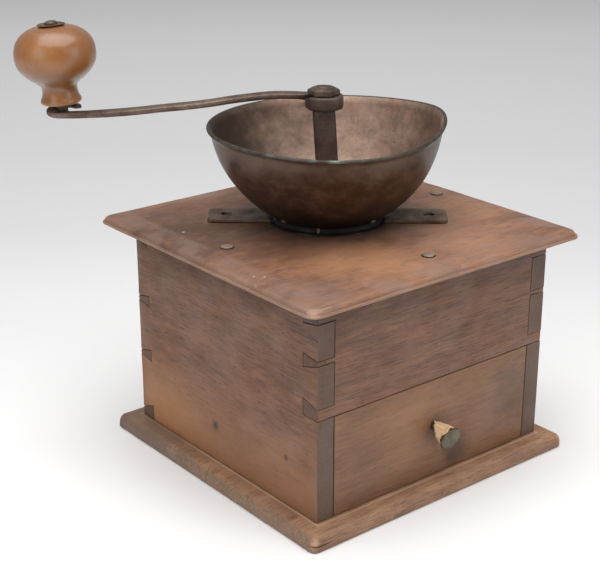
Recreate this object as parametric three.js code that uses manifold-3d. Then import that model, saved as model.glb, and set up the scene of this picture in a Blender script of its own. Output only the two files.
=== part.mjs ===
// Hand crank coffee grinder: a dovetailed case with a drawer, an open bowl hopper and a crank on a burr mill.
// Millimetres, +Z up. The origin is the centre of the case on the underside of the base.
// +X is to the right of someone facing the drawer, and the drawer front faces -Y.

import * as THREE from 'three';
import { mergeVertices } from 'three/addons/utils/BufferGeometryUtils.js';
import Module from 'manifold-3d';

const wasm = await Module();
wasm.setup();

// ---------------------------------------------------------------- driving dimensions

const GAP = 0.3; // air left between pieces that touch

// Case
const CASE_WIDTH = 165;
const CASE_DEPTH = 163;
const BASE_THICKNESS = 8.2;
const CASE_TOP = 130.75;
const SIDE_THICKNESS = 10.8;
const RAIL_THICKNESS = 11.5;
const BACK_THICKNESS = 10.5;
const RAIL_BOTTOM = 66.6;

// Base boards
const BASE_OVERHANG = 12.2;
const BASE_JOINT_Y = 1.5;
const EDGE_ROUND = 5;

// Top board: it overhangs more at the left and the front
const TOP_THICKNESS = 5.1;
const TOP_LEFT = -100.5;
const TOP_RIGHT = 93;
const TOP_FRONT = -98.8;
const TOP_BACK = 92.5;
const TOP_CORNER = 7;
const TOP_LIP = 1.4; // height of the square lip below the quarter round
const TOP_OVOLO = 4.1; // height of the quarter round's upper edge
const TOP_BEVEL = 17; // how far in the bevel meets the flat

// Nails
const NAIL_RADIUS = 1.3;
const NAIL_LENGTH = 32;
const NAIL_POINT = 3;
const TOP_NAIL_HEAD = 3.5;
const TOP_NAIL_HEIGHT = 0.7;
const BASE_NAIL_HEAD = 2.6;
const BASE_NAIL_HEIGHT = 0.9;
const BASE_NAIL_SINK = 0.6;
const STRAP_NAIL_HEAD = 2.6;

// Mill
const MILL_X = -4;
const MILL_Y = 5;
const STRAP_ANGLE = -39.6;
const STRAP_LENGTH = 134;
const STRAP_WIDTH = 21;
const STRAP_THICKNESS = 2;
const STRAP_CORNER = 4;
const STRAP_NAIL_SPREAD = 56.5;
const STRAP_HOLE = 3.2;
const LEG_SPREAD = 25.5;
const THROAT_RADIUS = 19;
const SHAFT_SQUARE = 12.4;
const SHAFT_CHAMFER = 1.7;
const BEND_START = 160; // the shaft has been pushed over, towards the arm, above this height
const SHAFT_BEND = 2.5; // how far over it is at the eye
const JOURNAL_RADIUS = 5.4;
const LEG_NECK = 2.3;
const LEG_SHOULDER = 3.4;
const LEG_HEAD = 4;
const LEG_LOW = 78.6;
const BURR_LOW = 98;
const BURR_WALL_RADIUS = 21.5;
const BURR_FLANGE_THICKNESS = 3.8;
const BURR_TEETH = 10;
const TOOTH_DEPTH = 0.8;
const BRIDGE_HIGH = 88;
const BRIDGE_LOW = 84;
const BRIDGE_HALF_WIDTH = 6.5;
const BOSS_LOW = 81.5;
const BOSS_RADIUS = 9;
const NUT_THICKNESS = 3.6;
const SCREW_RADIUS = 3;
const SCREW_LOW = 69;
const SCREW_HEAD_HIGH = 73.5;
const SCREW_TIP = 90.4;
const STEP_TOP = 95.4;
const STEP_RADIUS = 5.4;
const PIVOT_LOW = 92.6;
const PIVOT_RADIUS = 3.2;
const PIN_HEIGHT = 106;
const PIN_RADIUS = 1.5;
const INNER_BURR_LOW = 100.5;
const INNER_BURR_HIGH = 126;
const INNER_BURR_RADIUS = 14.4;
const TENON_SQUARE = 8;
const TENON_CHAMFER = 0.6;
const STUB_RADIUS = 4;

// Bowl
const BOWL_RADIUS = 65.4;
const BOWL_CENTRE = 197.5;
const BOWL_RIM = 189.6;
const BOWL_WALL = 1.3;
const BOWL_LIP_RADIUS = 66.6;
const FOOT_RING_RADIUS = 32;
const FOOT_RING_WALL = 2;
const FOOT_FLANGE_RADIUS = 34.3;
const FOOT_FLANGE_THICKNESS = 0.7;
const BOWL_RIVETS = [187, 275, 51]; // degrees round the bowl
const RIVET_RADIUS = 0.9;
const RIVET_AT = 34.5;

// Crank
const CRANK_AZIMUTH = 141;
const CRANK_REACH = 144.7;
const EYE_BOTTOM = 198.6;
const EYE_TOP = 206;
const EYE_RADIUS = 10.8;
const CRANK_NUT_TOP = 210.2;
const CRANK_NUT_RADIUS = 9;
const CRANK_NUT_TURN = -4; // degrees
const ARM_WIDTH = 8.4;
const ARM_THICKNESS = 3.6;
const ARM_OFFSET_AT_EYE = -6.2;
const LOOP_BAR_WIDTH = 5.2;
const LOOP_TIP_THICKNESS = 2.4;
const LOOP_LINE_RADIUS = 6.1;
const LOOP_TIP_OUT = 2.4; // how much further out the loop's tip ends
const LOOP_RISE = 2.9; // how far the loop climbs as it curls round
const LOOP_BOTTOM = 194.4;
const SPINDLE_RADIUS = 3.1;
const KNOB_LEAN = 4.1; // degrees that the spindle leans outwards
const KNOB_PIVOT = 197.6; // height on the spindle where the reach is measured
const KNOB_BOTTOM = 201.3;
const KNOB_TOP = 243.4;
const ROVE_THICKNESS = 0.9;
const ROVE_RADIUS = 7.8;

// Drawer
const DRAWER_WIDTH = 142.4;
const DRAWER_TOP = 66.1;
const DRAWER_BOTTOM = 8.7;
const DRAWER_BACK = 69.5;
const DRAWER_FRONT_THICKNESS = 11;
const DRAWER_LAP = 5.3; // how thick the front is where the sides lap behind it
const DRAWER_WALL = 6.5;
const DRAWER_WALL_TOP = 58;
const DRAWER_PANEL = [11.8, 15]; // heights of the bottom's faces
const DRAWER_GROOVE = 2.8;
const BRAD_RADIUS = 0.8;
const BRAD_LENGTH = 16;
const BRAD_HEIGHTS = [24, 47];
const DRAWER_KNOB_Z = 39;
const DRAWER_KNOB_DROOP = 16; // degrees, the shank being loose in its hole
const DRAWER_KNOB_RADIUS = 6.9;
const DRAWER_KNOB_OUT = 14.6;
const DRAWER_KNOB_SHANK = 2.2;

// ---------------------------------------------------------------- worked out from them

const SIDE_OUT = CASE_WIDTH / 2;
const SIDE_IN = SIDE_OUT - SIDE_THICKNESS;
const FRONT = -CASE_DEPTH / 2;
const BACK = CASE_DEPTH / 2;
const BOARD_LOW = BASE_THICKNESS + GAP;
const BOARD_HIGH = CASE_TOP - GAP;
const TOP_SURFACE = CASE_TOP + TOP_THICKNESS;
const STRAP_LOW = TOP_SURFACE + GAP;
const STRAP_HIGH = STRAP_LOW + STRAP_THICKNESS;
const BOWL_FLOOR = STRAP_HIGH + GAP;
const BURR_FLANGE_TOP = CASE_TOP - GAP;
const BURR_FLANGE_LOW = BURR_FLANGE_TOP - BURR_FLANGE_THICKNESS;
const DRAWER_HALF = DRAWER_WIDTH / 2;
const WALL_OUT = DRAWER_HALF - 2 * GAP;
const WALL_IN = WALL_OUT - DRAWER_WALL;
const DRAWER_FRONT_IN = FRONT + DRAWER_FRONT_THICKNESS;
const radians = THREE.MathUtils.degToRad;

// ---------------------------------------------------------------- materials

const material = (color, roughness, metalness) => new THREE.MeshStandardMaterial({
  color,
  roughness,
  metalness,
  flatShading: true,
});
const caseWood = material(0x7d5a44, 0.6, 0);
const topWood = material(0x8f684c, 0.5, 0);
const baseWood = material(0x7a5e48, 0.65, 0);
const drawerWood = material(0x9a7a58, 0.7, 0);
const knobWood = material(0xa9713f, 0.35, 0);
const copper = material(0x6b5040, 0.4, 0.8);
const wroughtIron = material(0x584b45, 0.5, 0.8);
const darkIron = material(0x2b2827, 0.55, 0.8);
const steel = material(0x6e6b68, 0.4, 0.9);
const brass = material(0x6e6c5c, 0.4, 0.8);
const packing = material(0xd7af82, 0.9, 0);

// ---------------------------------------------------------------- solids

// A closed geometry as a solid that can be joined and cut.
function solid(geometry) {
  const bare = geometry.clone();
  bare.deleteAttribute('normal');
  bare.deleteAttribute('uv');
  const merged = mergeVertices(bare, 1e-4);
  const index = merged.index.array;
  const kept = [];
  for (let i = 0; i < index.length; i += 3) {
    const [a, b, c] = [index[i], index[i + 1], index[i + 2]];
    if (a !== b && b !== c && c !== a) kept.push(a, b, c);
  }
  return new wasm.Manifold(new wasm.Mesh({
    numProp: 3,
    vertProperties: new Float32Array(merged.attributes.position.array),
    triVerts: new Uint32Array(kept),
  }));
}

// A solid as a geometry again.
function shell(body) {
  const mesh = body.getMesh();
  const geometry = new THREE.BufferGeometry();
  geometry.setAttribute('position', new THREE.BufferAttribute(mesh.vertProperties, 3));
  geometry.setIndex(new THREE.BufferAttribute(mesh.triVerts, 1));
  geometry.computeVertexNormals();
  return geometry;
}

function block(x, y, z) {
  const geometry = new THREE.BoxGeometry(x[1] - x[0], y[1] - y[0], z[1] - z[0]);
  geometry.translate((x[0] + x[1]) / 2, (y[0] + y[1]) / 2, (z[0] + z[1]) / 2);
  return solid(geometry);
}

// The surface of a body of revolution about Z from [radius, height] points that run up the outside.
function turnedSurface(points, segments) {
  const profile = points.map(([radius, height]) => new THREE.Vector2(radius, height));
  const geometry = new THREE.LatheGeometry(profile, segments);
  geometry.rotateX(Math.PI / 2);
  return geometry;
}

const turned = (points, segments = 24) => solid(turnedSurface(points, segments));

function rod(radius, low, high, segments = 16) {
  return turned([[0, low], [radius, low], [radius, high], [0, high]], segments);
}

// An outline in the XY plane raised from low to high.
function raised(shape, low, high, curveSegments = 4) {
  const geometry = new THREE.ExtrudeGeometry(shape, {
    depth: high - low,
    bevelEnabled: false,
    curveSegments,
  });
  geometry.translate(0, 0, low);
  return solid(geometry);
}

// A skin over rings of points with equal counts, closed by flat ends.
// Each ring runs anticlockwise when it is seen from the last one.
function loft(rings) {
  const count = rings[0].length;
  const position = rings.flat().flatMap((point) => [point.x, point.y, point.z]);
  const index = [];
  for (let ring = 0; ring < rings.length - 1; ring += 1) {
    for (let i = 0; i < count; i += 1) {
      const a = ring * count + i;
      const b = ring * count + ((i + 1) % count);
      index.push(a, b, b + count, a, b + count, a + count);
    }
  }
  const last = (rings.length - 1) * count;
  for (let i = 1; i < count - 1; i += 1) {
    index.push(0, i + 1, i);
    index.push(last, last + i, last + i + 1);
  }
  const geometry = new THREE.BufferGeometry();
  geometry.setAttribute('position', new THREE.Float32BufferAttribute(position, 3));
  geometry.setIndex(index);
  return solid(geometry);
}

function ngon(sides, radius, turn = 0) {
  const points = Array.from({ length: sides }, (_, i) => {
    const angle = turn + (i * 2 * Math.PI) / sides;
    return new THREE.Vector2(radius * Math.cos(angle), radius * Math.sin(angle));
  });
  return new THREE.Shape(points);
}

// A square bar section with its corners cut off.
function chamferedSquare(side, chamfer) {
  const half = side / 2;
  const cut = half - chamfer;
  const corners = [[1, -1], [1, 1], [-1, 1], [-1, -1]];
  const points = corners.flatMap(([sx, sy]) => {
    const first = [half * sx, cut * sy];
    const second = [cut * sx, half * sy];
    return sx * sy < 0 ? [second, first] : [first, second];
  });
  return new THREE.Shape(points.map(([x, y]) => new THREE.Vector2(x, y)));
}

// The same section as a ring of points about a centre on the X axis.
function squareRing(side, chamfer, x, height) {
  const points = chamferedSquare(side, chamfer).getPoints(1);
  return points.map((point) => new THREE.Vector3(point.x + x, point.y, height));
}

// A rectangle with round corners, as a ring of points at one height.
function roundedRing([left, right, front, back], inset, corner, height, steps = 3) {
  const radius = Math.max(corner - inset, 0.5);
  const centres = [[right, back, 0], [left, back, 90], [left, front, 180], [right, front, 270]];
  return centres.flatMap(([x, y, start]) => {
    const cx = x - Math.sign(x) * (inset + radius);
    const cy = y - Math.sign(y) * (inset + radius);
    return Array.from({ length: steps + 1 }, (_, i) => {
      const angle = radians(start + (90 * i) / steps);
      return new THREE.Vector3(cx + radius * Math.cos(angle), cy + radius * Math.sin(angle), height);
    });
  });
}

// A board whose edge follows [inset, height] points from the underside to the top.
function mouldedBoard(plan, corner, profile) {
  return loft(profile.map(([inset, height]) => roundedRing(plan, inset, corner, height)));
}

// ---------------------------------------------------------------- assembly helpers

const grinder = new THREE.Group();
grinder.name = 'coffee_grinder';
const mill = new THREE.Group();
mill.position.set(MILL_X, MILL_Y, 0);
const strapLine = new THREE.Group();
strapLine.rotation.z = radians(STRAP_ANGLE);
const crank = new THREE.Group();
crank.rotation.z = radians(CRANK_AZIMUTH);
mill.add(strapLine, crank);
grinder.add(mill);

// The knob's spindle leans, so what is on it stands in a frame of its own with heights left unchanged.
const spindleFoot = new THREE.Group();
spindleFoot.position.set(CRANK_REACH, 0, KNOB_PIVOT);
spindleFoot.rotation.y = radians(KNOB_LEAN);
const spindleLine = new THREE.Group();
spindleLine.position.z = -KNOB_PIVOT;
spindleFoot.add(spindleLine);
crank.add(spindleFoot);

function place(name, body, finish, parent = grinder) {
  const mesh = new THREE.Mesh(shell(body), finish);
  mesh.name = name;
  parent.add(mesh);
  return mesh;
}

// A point of the strap's line, in the grinder's frame.
function onStrapLine(distance) {
  const angle = radians(STRAP_ANGLE);
  return [MILL_X + distance * Math.cos(angle), MILL_Y + distance * Math.sin(angle)];
}

const hole = (x, y, radius, low, high) => rod(radius, low, high, 12).translate(x, y, 0);

// ---------------------------------------------------------------- nails

const TOP_NAILS = {
  left: [-77.1, 0.2],
  front: [-3.5, FRONT + RAIL_THICKNESS / 2],
  right: [75.8, -0.6],
  back: [0.5, BACK - BACK_THICKNESS / 2],
};
const BASE_NAILS = [[-77.1, -42], [77.1, -42], [-77.1, 44], [77.1, 44]];

// A nail with a low domed head, its point down and the head's underside at height zero.
function nail(length, radius, headRadius, headHeight) {
  return turned([
    [0, -length],
    [radius, -length + NAIL_POINT],
    [radius, 0],
    [headRadius, 0],
    [headRadius * 0.8, headHeight],
    [0, headHeight],
  ], 8);
}

const nailHole = ([x, y], low, high) => hole(x, y, NAIL_RADIUS + GAP, low, high);

function topNails() {
  for (const [side, [x, y]] of Object.entries(TOP_NAILS)) {
    const body = nail(NAIL_LENGTH, NAIL_RADIUS, TOP_NAIL_HEAD, TOP_NAIL_HEIGHT);
    place(`top_nail_${side}`, body, wroughtIron).position.set(x, y, TOP_SURFACE + GAP);
  }
}

function baseNails() {
  BASE_NAILS.forEach(([x, y], i) => {
    const body = nail(NAIL_LENGTH, NAIL_RADIUS, BASE_NAIL_HEAD, BASE_NAIL_HEIGHT);
    const mesh = place(`base_nail_${i + 1}`, body, wroughtIron);
    mesh.rotation.x = Math.PI;
    mesh.position.set(x, y, BASE_NAIL_SINK + BASE_NAIL_HEIGHT);
  });
}

// ---------------------------------------------------------------- case

// Dovetail pins as heights [outer low, outer high, inner low, inner high]. The pins are narrow outside.
const FRONT_PINS = [
  [RAIL_BOTTOM, 72.4, RAIL_BOTTOM, 75.7],
  [96.8, 99, 93.2, 100.5],
  [119, BOARD_HIGH, 117, BOARD_HIGH],
];
const BACK_PINS = [
  [BOARD_LOW, 13.7, BOARD_LOW, 17.5],
  [48.8, 51, 46.6, 53.2],
  [83.2, 85.4, 81.3, 87.3],
  [120, BOARD_HIGH, 118, BOARD_HIGH],
];

// One pin across a side board at either end, or with grow the socket that takes it.
function pin([outLow, outHigh, inLow, inHigh], outY, inY, side, grow) {
  const span = inY - outY;
  const direction = Math.sign(span);
  const y0 = outY - direction * (grow ? 1 : 0);
  const y1 = inY + direction * (grow ? GAP : 0);
  const slope = (from, to, y) => from + ((to - from) * (y - outY)) / span;
  const shape = new THREE.Shape([
    new THREE.Vector2(y0, slope(outLow, inLow, y0) - grow),
    new THREE.Vector2(y1, slope(outLow, inLow, y1) - grow),
    new THREE.Vector2(y1, slope(outHigh, inHigh, y1) + grow),
    new THREE.Vector2(y0, slope(outHigh, inHigh, y0) + grow),
  ]);
  const margin = grow ? 1 : 0;
  const geometry = new THREE.ExtrudeGeometry(shape, {
    depth: SIDE_THICKNESS + GAP + 2 * margin,
    bevelEnabled: false,
  });
  // The outline's axes become Y and Z, and the depth runs along X.
  geometry.applyMatrix4(new THREE.Matrix4().makeBasis(
    new THREE.Vector3(0, 1, 0),
    new THREE.Vector3(0, 0, 1),
    new THREE.Vector3(1, 0, 0),
  ));
  geometry.translate(side > 0 ? SIDE_IN - GAP - margin : -SIDE_OUT - margin, 0, 0);
  return solid(geometry);
}

const frontPin = (heights, side, grow) => pin(heights, FRONT, FRONT + RAIL_THICKNESS, side, grow);
const backPin = (heights, side, grow) => pin(heights, BACK, BACK - BACK_THICKNESS, side, grow);

function sideBoard(side) {
  const x = side > 0 ? [SIDE_IN, SIDE_OUT] : [-SIDE_OUT, -SIDE_IN];
  let body = block(x, [FRONT, BACK], [BOARD_LOW, BOARD_HIGH]);
  for (const heights of FRONT_PINS) body = body.subtract(frontPin(heights, side, GAP));
  for (const heights of BACK_PINS) body = body.subtract(backPin(heights, side, GAP));
  const topNail = side > 0 ? TOP_NAILS.right : TOP_NAILS.left;
  body = body.subtract(nailHole(topNail, TOP_SURFACE - NAIL_LENGTH - 1, CASE_TOP));
  for (const at of BASE_NAILS.filter(([nailX]) => nailX * side > 0)) {
    body = body.subtract(nailHole(at, BASE_THICKNESS, NAIL_LENGTH + 3));
  }
  place(side > 0 ? 'case_side_right' : 'case_side_left', body, caseWood);
}

function frontRail() {
  const inner = [-SIDE_IN + GAP, SIDE_IN - GAP];
  let body = block(inner, [FRONT, FRONT + RAIL_THICKNESS], [RAIL_BOTTOM, BOARD_HIGH]);
  for (const heights of FRONT_PINS) {
    body = body.add(frontPin(heights, -1, 0)).add(frontPin(heights, 1, 0));
  }
  body = body.subtract(nailHole(TOP_NAILS.front, TOP_SURFACE - NAIL_LENGTH - 1, CASE_TOP));
  place('front_rail', body, caseWood);
}

function backBoard() {
  const inner = [-SIDE_IN + GAP, SIDE_IN - GAP];
  let body = block(inner, [BACK - BACK_THICKNESS, BACK], [BOARD_LOW, BOARD_HIGH]);
  for (const heights of BACK_PINS) {
    body = body.add(backPin(heights, -1, 0)).add(backPin(heights, 1, 0));
  }
  body = body.subtract(nailHole(TOP_NAILS.back, TOP_SURFACE - NAIL_LENGTH - 1, CASE_TOP));
  place('back_board', body, caseWood);
}

// Two boards glued edge to edge, with a rounded outer edge.
function baseBoards() {
  const x = SIDE_OUT + BASE_OVERHANG;
  const y = BACK + BASE_OVERHANG;
  const round = Array.from({ length: 4 }, (_, i) => {
    const angle = radians(30 * i);
    return [EDGE_ROUND * (1 - Math.cos(angle)), BASE_THICKNESS - EDGE_ROUND * (1 - Math.sin(angle))];
  });
  const profile = [[1, 0], ...round];
  let whole = mouldedBoard([-x, x, -y, y], 4, profile);
  const recess = BASE_NAIL_SINK + BASE_NAIL_HEIGHT + GAP;
  for (const [nailX, nailY] of BASE_NAILS) {
    whole = whole.subtract(nailHole([nailX, nailY], -1, BASE_THICKNESS + 1));
    whole = whole.subtract(hole(nailX, nailY, BASE_NAIL_HEAD + GAP, -1, recess));
  }
  const front = block([-x - 1, x + 1], [-y - 1, BASE_JOINT_Y - GAP / 2], [-1, BASE_THICKNESS + 1]);
  const rear = block([-x - 1, x + 1], [BASE_JOINT_Y + GAP / 2, y + 1], [-1, BASE_THICKNESS + 1]);
  place('base_board_front', whole.intersect(front), baseWood);
  place('base_board_rear', whole.intersect(rear), baseWood);
}

// The top has a lip below, a quirk, a quarter round and a long shallow bevel.
function topBoard() {
  const quirk = 1;
  const ovoloLow = TOP_LIP + 0.6;
  const lip = [[0.8, 0], [0, 0.5], [0, TOP_LIP], [quirk, TOP_LIP + 0.3]];
  const ovolo = Array.from({ length: 4 }, (_, i) => {
    const angle = radians(30 * i);
    const rise = (TOP_OVOLO - ovoloLow) * Math.sin(angle);
    return [quirk + 3 * (1 - Math.cos(angle)), ovoloLow + rise];
  });
  const bevel = [[TOP_BEVEL, TOP_THICKNESS]];
  const plan = [TOP_LEFT, TOP_RIGHT, TOP_FRONT, TOP_BACK];
  let body = mouldedBoard(plan, TOP_CORNER, [...lip, ...ovolo, ...bevel]).translate(0, 0, CASE_TOP);
  body = body.subtract(hole(MILL_X, MILL_Y, THROAT_RADIUS, CASE_TOP - 1, TOP_SURFACE + 1));
  for (const at of Object.values(TOP_NAILS)) {
    body = body.subtract(nailHole(at, CASE_TOP - 1, TOP_SURFACE + 1));
  }
  for (const distance of [-LEG_SPREAD, LEG_SPREAD]) {
    const [x, y] = onStrapLine(distance);
    body = body.subtract(hole(x, y, LEG_NECK + GAP, CASE_TOP - 1, TOP_SURFACE + 1));
  }
  for (const distance of [-STRAP_NAIL_SPREAD, STRAP_NAIL_SPREAD]) {
    body = body.subtract(nailHole(onStrapLine(distance), CASE_TOP - 1, TOP_SURFACE + 1));
  }
  place('top_board', body, topWood);
}

// ---------------------------------------------------------------- mill fixed to the top board

function mountingStrap() {
  const half = STRAP_LENGTH / 2 - STRAP_CORNER;
  const side = STRAP_WIDTH / 2 - STRAP_CORNER;
  const shape = new THREE.Shape();
  const corners = [[half, -side, -90], [half, side, 0], [-half, side, 90], [-half, -side, 180]];
  for (const [x, y, start] of corners) {
    shape.absarc(x, y, STRAP_CORNER, radians(start), radians(start + 90), false);
  }
  let body = raised(shape, STRAP_LOW, STRAP_HIGH);
  body = body.subtract(hole(0, 0, JOURNAL_RADIUS + GAP, STRAP_LOW - 1, STRAP_HIGH + 1));
  for (const distance of [-LEG_SPREAD, LEG_SPREAD]) {
    const countersink = turned([
      [0, STRAP_LOW - 1],
      [LEG_NECK + GAP, STRAP_LOW - 1],
      [LEG_NECK + GAP, STRAP_LOW],
      [LEG_HEAD + GAP, STRAP_HIGH + 0.1],
      [LEG_HEAD + GAP, STRAP_HIGH + 1],
      [0, STRAP_HIGH + 1],
    ], 16);
    body = body.subtract(countersink.translate(distance, 0, 0));
  }
  for (const distance of [-STRAP_NAIL_SPREAD, STRAP_NAIL_SPREAD]) {
    body = body.subtract(hole(distance, 0, STRAP_HOLE, STRAP_LOW - 1, STRAP_HIGH + 1));
  }
  place('mounting_strap', body, wroughtIron, strapLine);
}

function strapNails() {
  [-STRAP_NAIL_SPREAD, STRAP_NAIL_SPREAD].forEach((distance, i) => {
    const body = nail(TOP_THICKNESS + NAIL_POINT, NAIL_RADIUS, STRAP_NAIL_HEAD, TOP_NAIL_HEIGHT);
    place(`strap_nail_${i + 1}`, body, darkIron, strapLine).position.set(distance, 0, STRAP_LOW);
  });
}

// A collar under the bowl with its foot turned out, notched over the strap.
function footRing() {
  const slopeTop = (radius) => bowlOutside(radius) - GAP;
  const inner = FOOT_RING_RADIUS - FOOT_RING_WALL;
  const flangeTop = STRAP_LOW + FOOT_FLANGE_THICKNESS;
  let body = turned([
    [inner, STRAP_LOW],
    [FOOT_FLANGE_RADIUS, STRAP_LOW],
    [FOOT_FLANGE_RADIUS, flangeTop],
    [FOOT_RING_RADIUS, flangeTop],
    [FOOT_RING_RADIUS, slopeTop(FOOT_RING_RADIUS)],
    [inner, slopeTop(inner)],
    [inner, STRAP_LOW],
  ], 32);
  const half = STRAP_WIDTH / 2 + GAP;
  const reach = FOOT_FLANGE_RADIUS + 1;
  body = body.subtract(block([-reach, reach], [-half, half], [STRAP_LOW - 1, STRAP_HIGH + GAP]));
  place('foot_ring', body, darkIron, strapLine);
}

// Height of the bowl's outer surface at a distance from its axis.
function bowlOutside(radius) {
  return BOWL_CENTRE - Math.sqrt(BOWL_RADIUS ** 2 - radius ** 2);
}

// Pushes the bowl's wall out of round and its rim out of level, more towards the rim, as use has done.
function knockAbout(geometry) {
  const lobe = (angle, middle) => Math.max(0, Math.cos(angle - radians(middle))) ** 6;
  const position = geometry.attributes.position;
  for (let i = 0; i < position.count; i += 1) {
    const [x, y, z] = [position.getX(i), position.getY(i), position.getZ(i)];
    const angle = Math.atan2(y, x);
    const share = Math.max(0, (z - BOWL_FLOOR) / (BOWL_RIM - BOWL_FLOOR)) ** 2;
    const out = share * (0.5 * Math.cos(2 * angle) + 1.2 * Math.sin(2 * angle) + Math.sin(3 * angle));
    const wave = 0.8 * Math.cos(angle) + 0.3 * Math.sin(angle) - 0.9 * Math.sin(2 * angle)
      - 0.7 * Math.cos(3 * angle) - 0.4 * Math.sin(3 * angle)
      + 1.9 * lobe(angle, 12) + lobe(angle, 130) + 3.6 * lobe(angle, -32);
    const stretch = 1 + out / Math.hypot(x, y);
    position.setXYZ(i, x * stretch, y * stretch, z + share * wave);
  }
  return geometry;
}

function hopperBowl() {
  const arc = (radius, from, to, steps) => Array.from({ length: steps + 1 }, (_, i) => {
    const angle = from + ((to - from) * i) / steps;
    return [radius * Math.cos(angle), BOWL_CENTRE + radius * Math.sin(angle)];
  });
  const inside = BOWL_RADIUS - BOWL_WALL;
  const floorTop = BOWL_FLOOR + BOWL_WALL;
  const neck = BOWL_RIM - 5;
  const outer = arc(BOWL_RADIUS, Math.asin((BOWL_FLOOR - BOWL_CENTRE) / BOWL_RADIUS),
    Math.asin((neck - BOWL_CENTRE) / BOWL_RADIUS), 7);
  const inner = arc(inside, Math.asin((neck - BOWL_CENTRE) / inside),
    Math.asin((floorTop - BOWL_CENTRE) / inside), 7);
  const lip = [
    [BOWL_LIP_RADIUS, BOWL_RIM - 1.8],
    [BOWL_LIP_RADIUS + 0.2, BOWL_RIM - 0.8],
    [BOWL_LIP_RADIUS - 0.4, BOWL_RIM],
    [BOWL_LIP_RADIUS - 1.6, BOWL_RIM],
    [BOWL_LIP_RADIUS - 2, BOWL_RIM - 1.2],
  ];
  const throat = THROAT_RADIUS + 1;
  const surface = turnedSurface([
    [throat, BOWL_FLOOR],
    ...outer,
    ...lip,
    ...inner,
    [throat, floorTop],
    [throat, BOWL_FLOOR],
  ], 36);
  let body = solid(knockAbout(surface));
  const rivetHole = rod(RIVET_RADIUS + GAP, -BOWL_WALL - 2, 2, 10);
  for (const azimuth of BOWL_RIVETS) body = body.subtract(onBowl(rivetHole, azimuth));
  place('hopper_bowl', body, copper, mill);
}

// Stands a body about Z on the bowl's outside at the rivets' height, with +Z pointing away from the bowl.
function onBowl(body, azimuth) {
  const tilt = THREE.MathUtils.radToDeg(Math.asin(RIVET_AT / BOWL_RADIUS));
  return body
    .rotate([0, 180 - tilt, 0])
    .translate(RIVET_AT, 0, bowlOutside(RIVET_AT))
    .rotate([0, 0, azimuth]);
}

// Small rivets low on the bowl, just above the foot ring.
function bowlRivets() {
  const rivet = turned([
    [0, -BOWL_WALL - 0.4],
    [RIVET_RADIUS, -BOWL_WALL - 0.4],
    [RIVET_RADIUS, GAP],
    [1.7, GAP],
    [1.3, 0.9],
    [0, 1.1],
  ], 8);
  BOWL_RIVETS.forEach((azimuth, i) => {
    place(`bowl_rivet_${i + 1}`, onBowl(rivet, azimuth), steel, mill);
  });
}

// A ring of points with teeth standing out from a radius.
function toothedRing(radius, depth, teeth, turn, height) {
  return Array.from({ length: teeth * 3 }, (_, i) => {
    const angle = turn + (i * 2 * Math.PI) / (teeth * 3);
    const r = radius + (i % 3 === 0 ? depth : 0);
    return new THREE.Vector3(r * Math.cos(angle), r * Math.sin(angle), height);
  });
}

// The fixed burr: an iron box with a flange under the top board and a toothed cone inside.
function outerBurr() {
  const flange = FOOT_RING_RADIUS - 1;
  let body = turned([
    [0, BURR_LOW],
    [BURR_WALL_RADIUS - 1, BURR_LOW],
    [BURR_WALL_RADIUS, BURR_LOW + 4],
    [BURR_WALL_RADIUS, BURR_FLANGE_LOW],
    [flange, BURR_FLANGE_LOW],
    [flange, BURR_FLANGE_TOP],
    [0, BURR_FLANGE_TOP],
  ], 24);
  const throat = THROAT_RADIUS - 1;
  const cavity = loft([
    toothedRing(16.4, TOOTH_DEPTH, BURR_TEETH, 0, BURR_LOW - 1),
    toothedRing(16.4, TOOTH_DEPTH, BURR_TEETH, -0.1, BURR_LOW + 8),
    toothedRing(17, TOOTH_DEPTH, BURR_TEETH, -0.2, BURR_LOW + 16),
    toothedRing(throat, 0, BURR_TEETH, -0.3, BURR_LOW + 24),
    toothedRing(throat, 0, BURR_TEETH, -0.3, BURR_FLANGE_TOP + 1),
  ]);
  body = body.subtract(cavity);
  for (const distance of [-LEG_SPREAD, LEG_SPREAD]) {
    body = body.subtract(hole(distance, 0, LEG_NECK + GAP, BURR_FLANGE_LOW - 1, BURR_FLANGE_TOP + 1));
  }
  place('outer_burr', body, darkIron, strapLine);
}

// Rods that hang the lower bridge from the strap, with a shoulder between the flange and the bridge.
function hangerLegs() {
  [-LEG_SPREAD, LEG_SPREAD].forEach((distance, i) => {
    const leg = turned([
      [0, LEG_LOW],
      [LEG_NECK, LEG_LOW],
      [LEG_NECK, BRIDGE_HIGH + GAP],
      [LEG_SHOULDER, BRIDGE_HIGH + GAP],
      [LEG_SHOULDER, BURR_FLANGE_LOW - GAP],
      [LEG_NECK, BURR_FLANGE_LOW - GAP],
      [LEG_NECK, STRAP_LOW + GAP],
      [LEG_HEAD, STRAP_HIGH],
      [0, STRAP_HIGH],
    ], 10);
    place(`hanger_leg_${i + 1}`, leg, darkIron, strapLine).position.x = distance;
    const nut = raised(ngon(4, 6), BRIDGE_LOW - GAP - NUT_THICKNESS, BRIDGE_LOW - GAP)
      .subtract(rod(LEG_NECK + GAP, LEG_LOW - 2, BRIDGE_LOW + 2));
    place(`leg_nut_${i + 1}`, nut, darkIron, strapLine).position.x = distance;
  });
}

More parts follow.
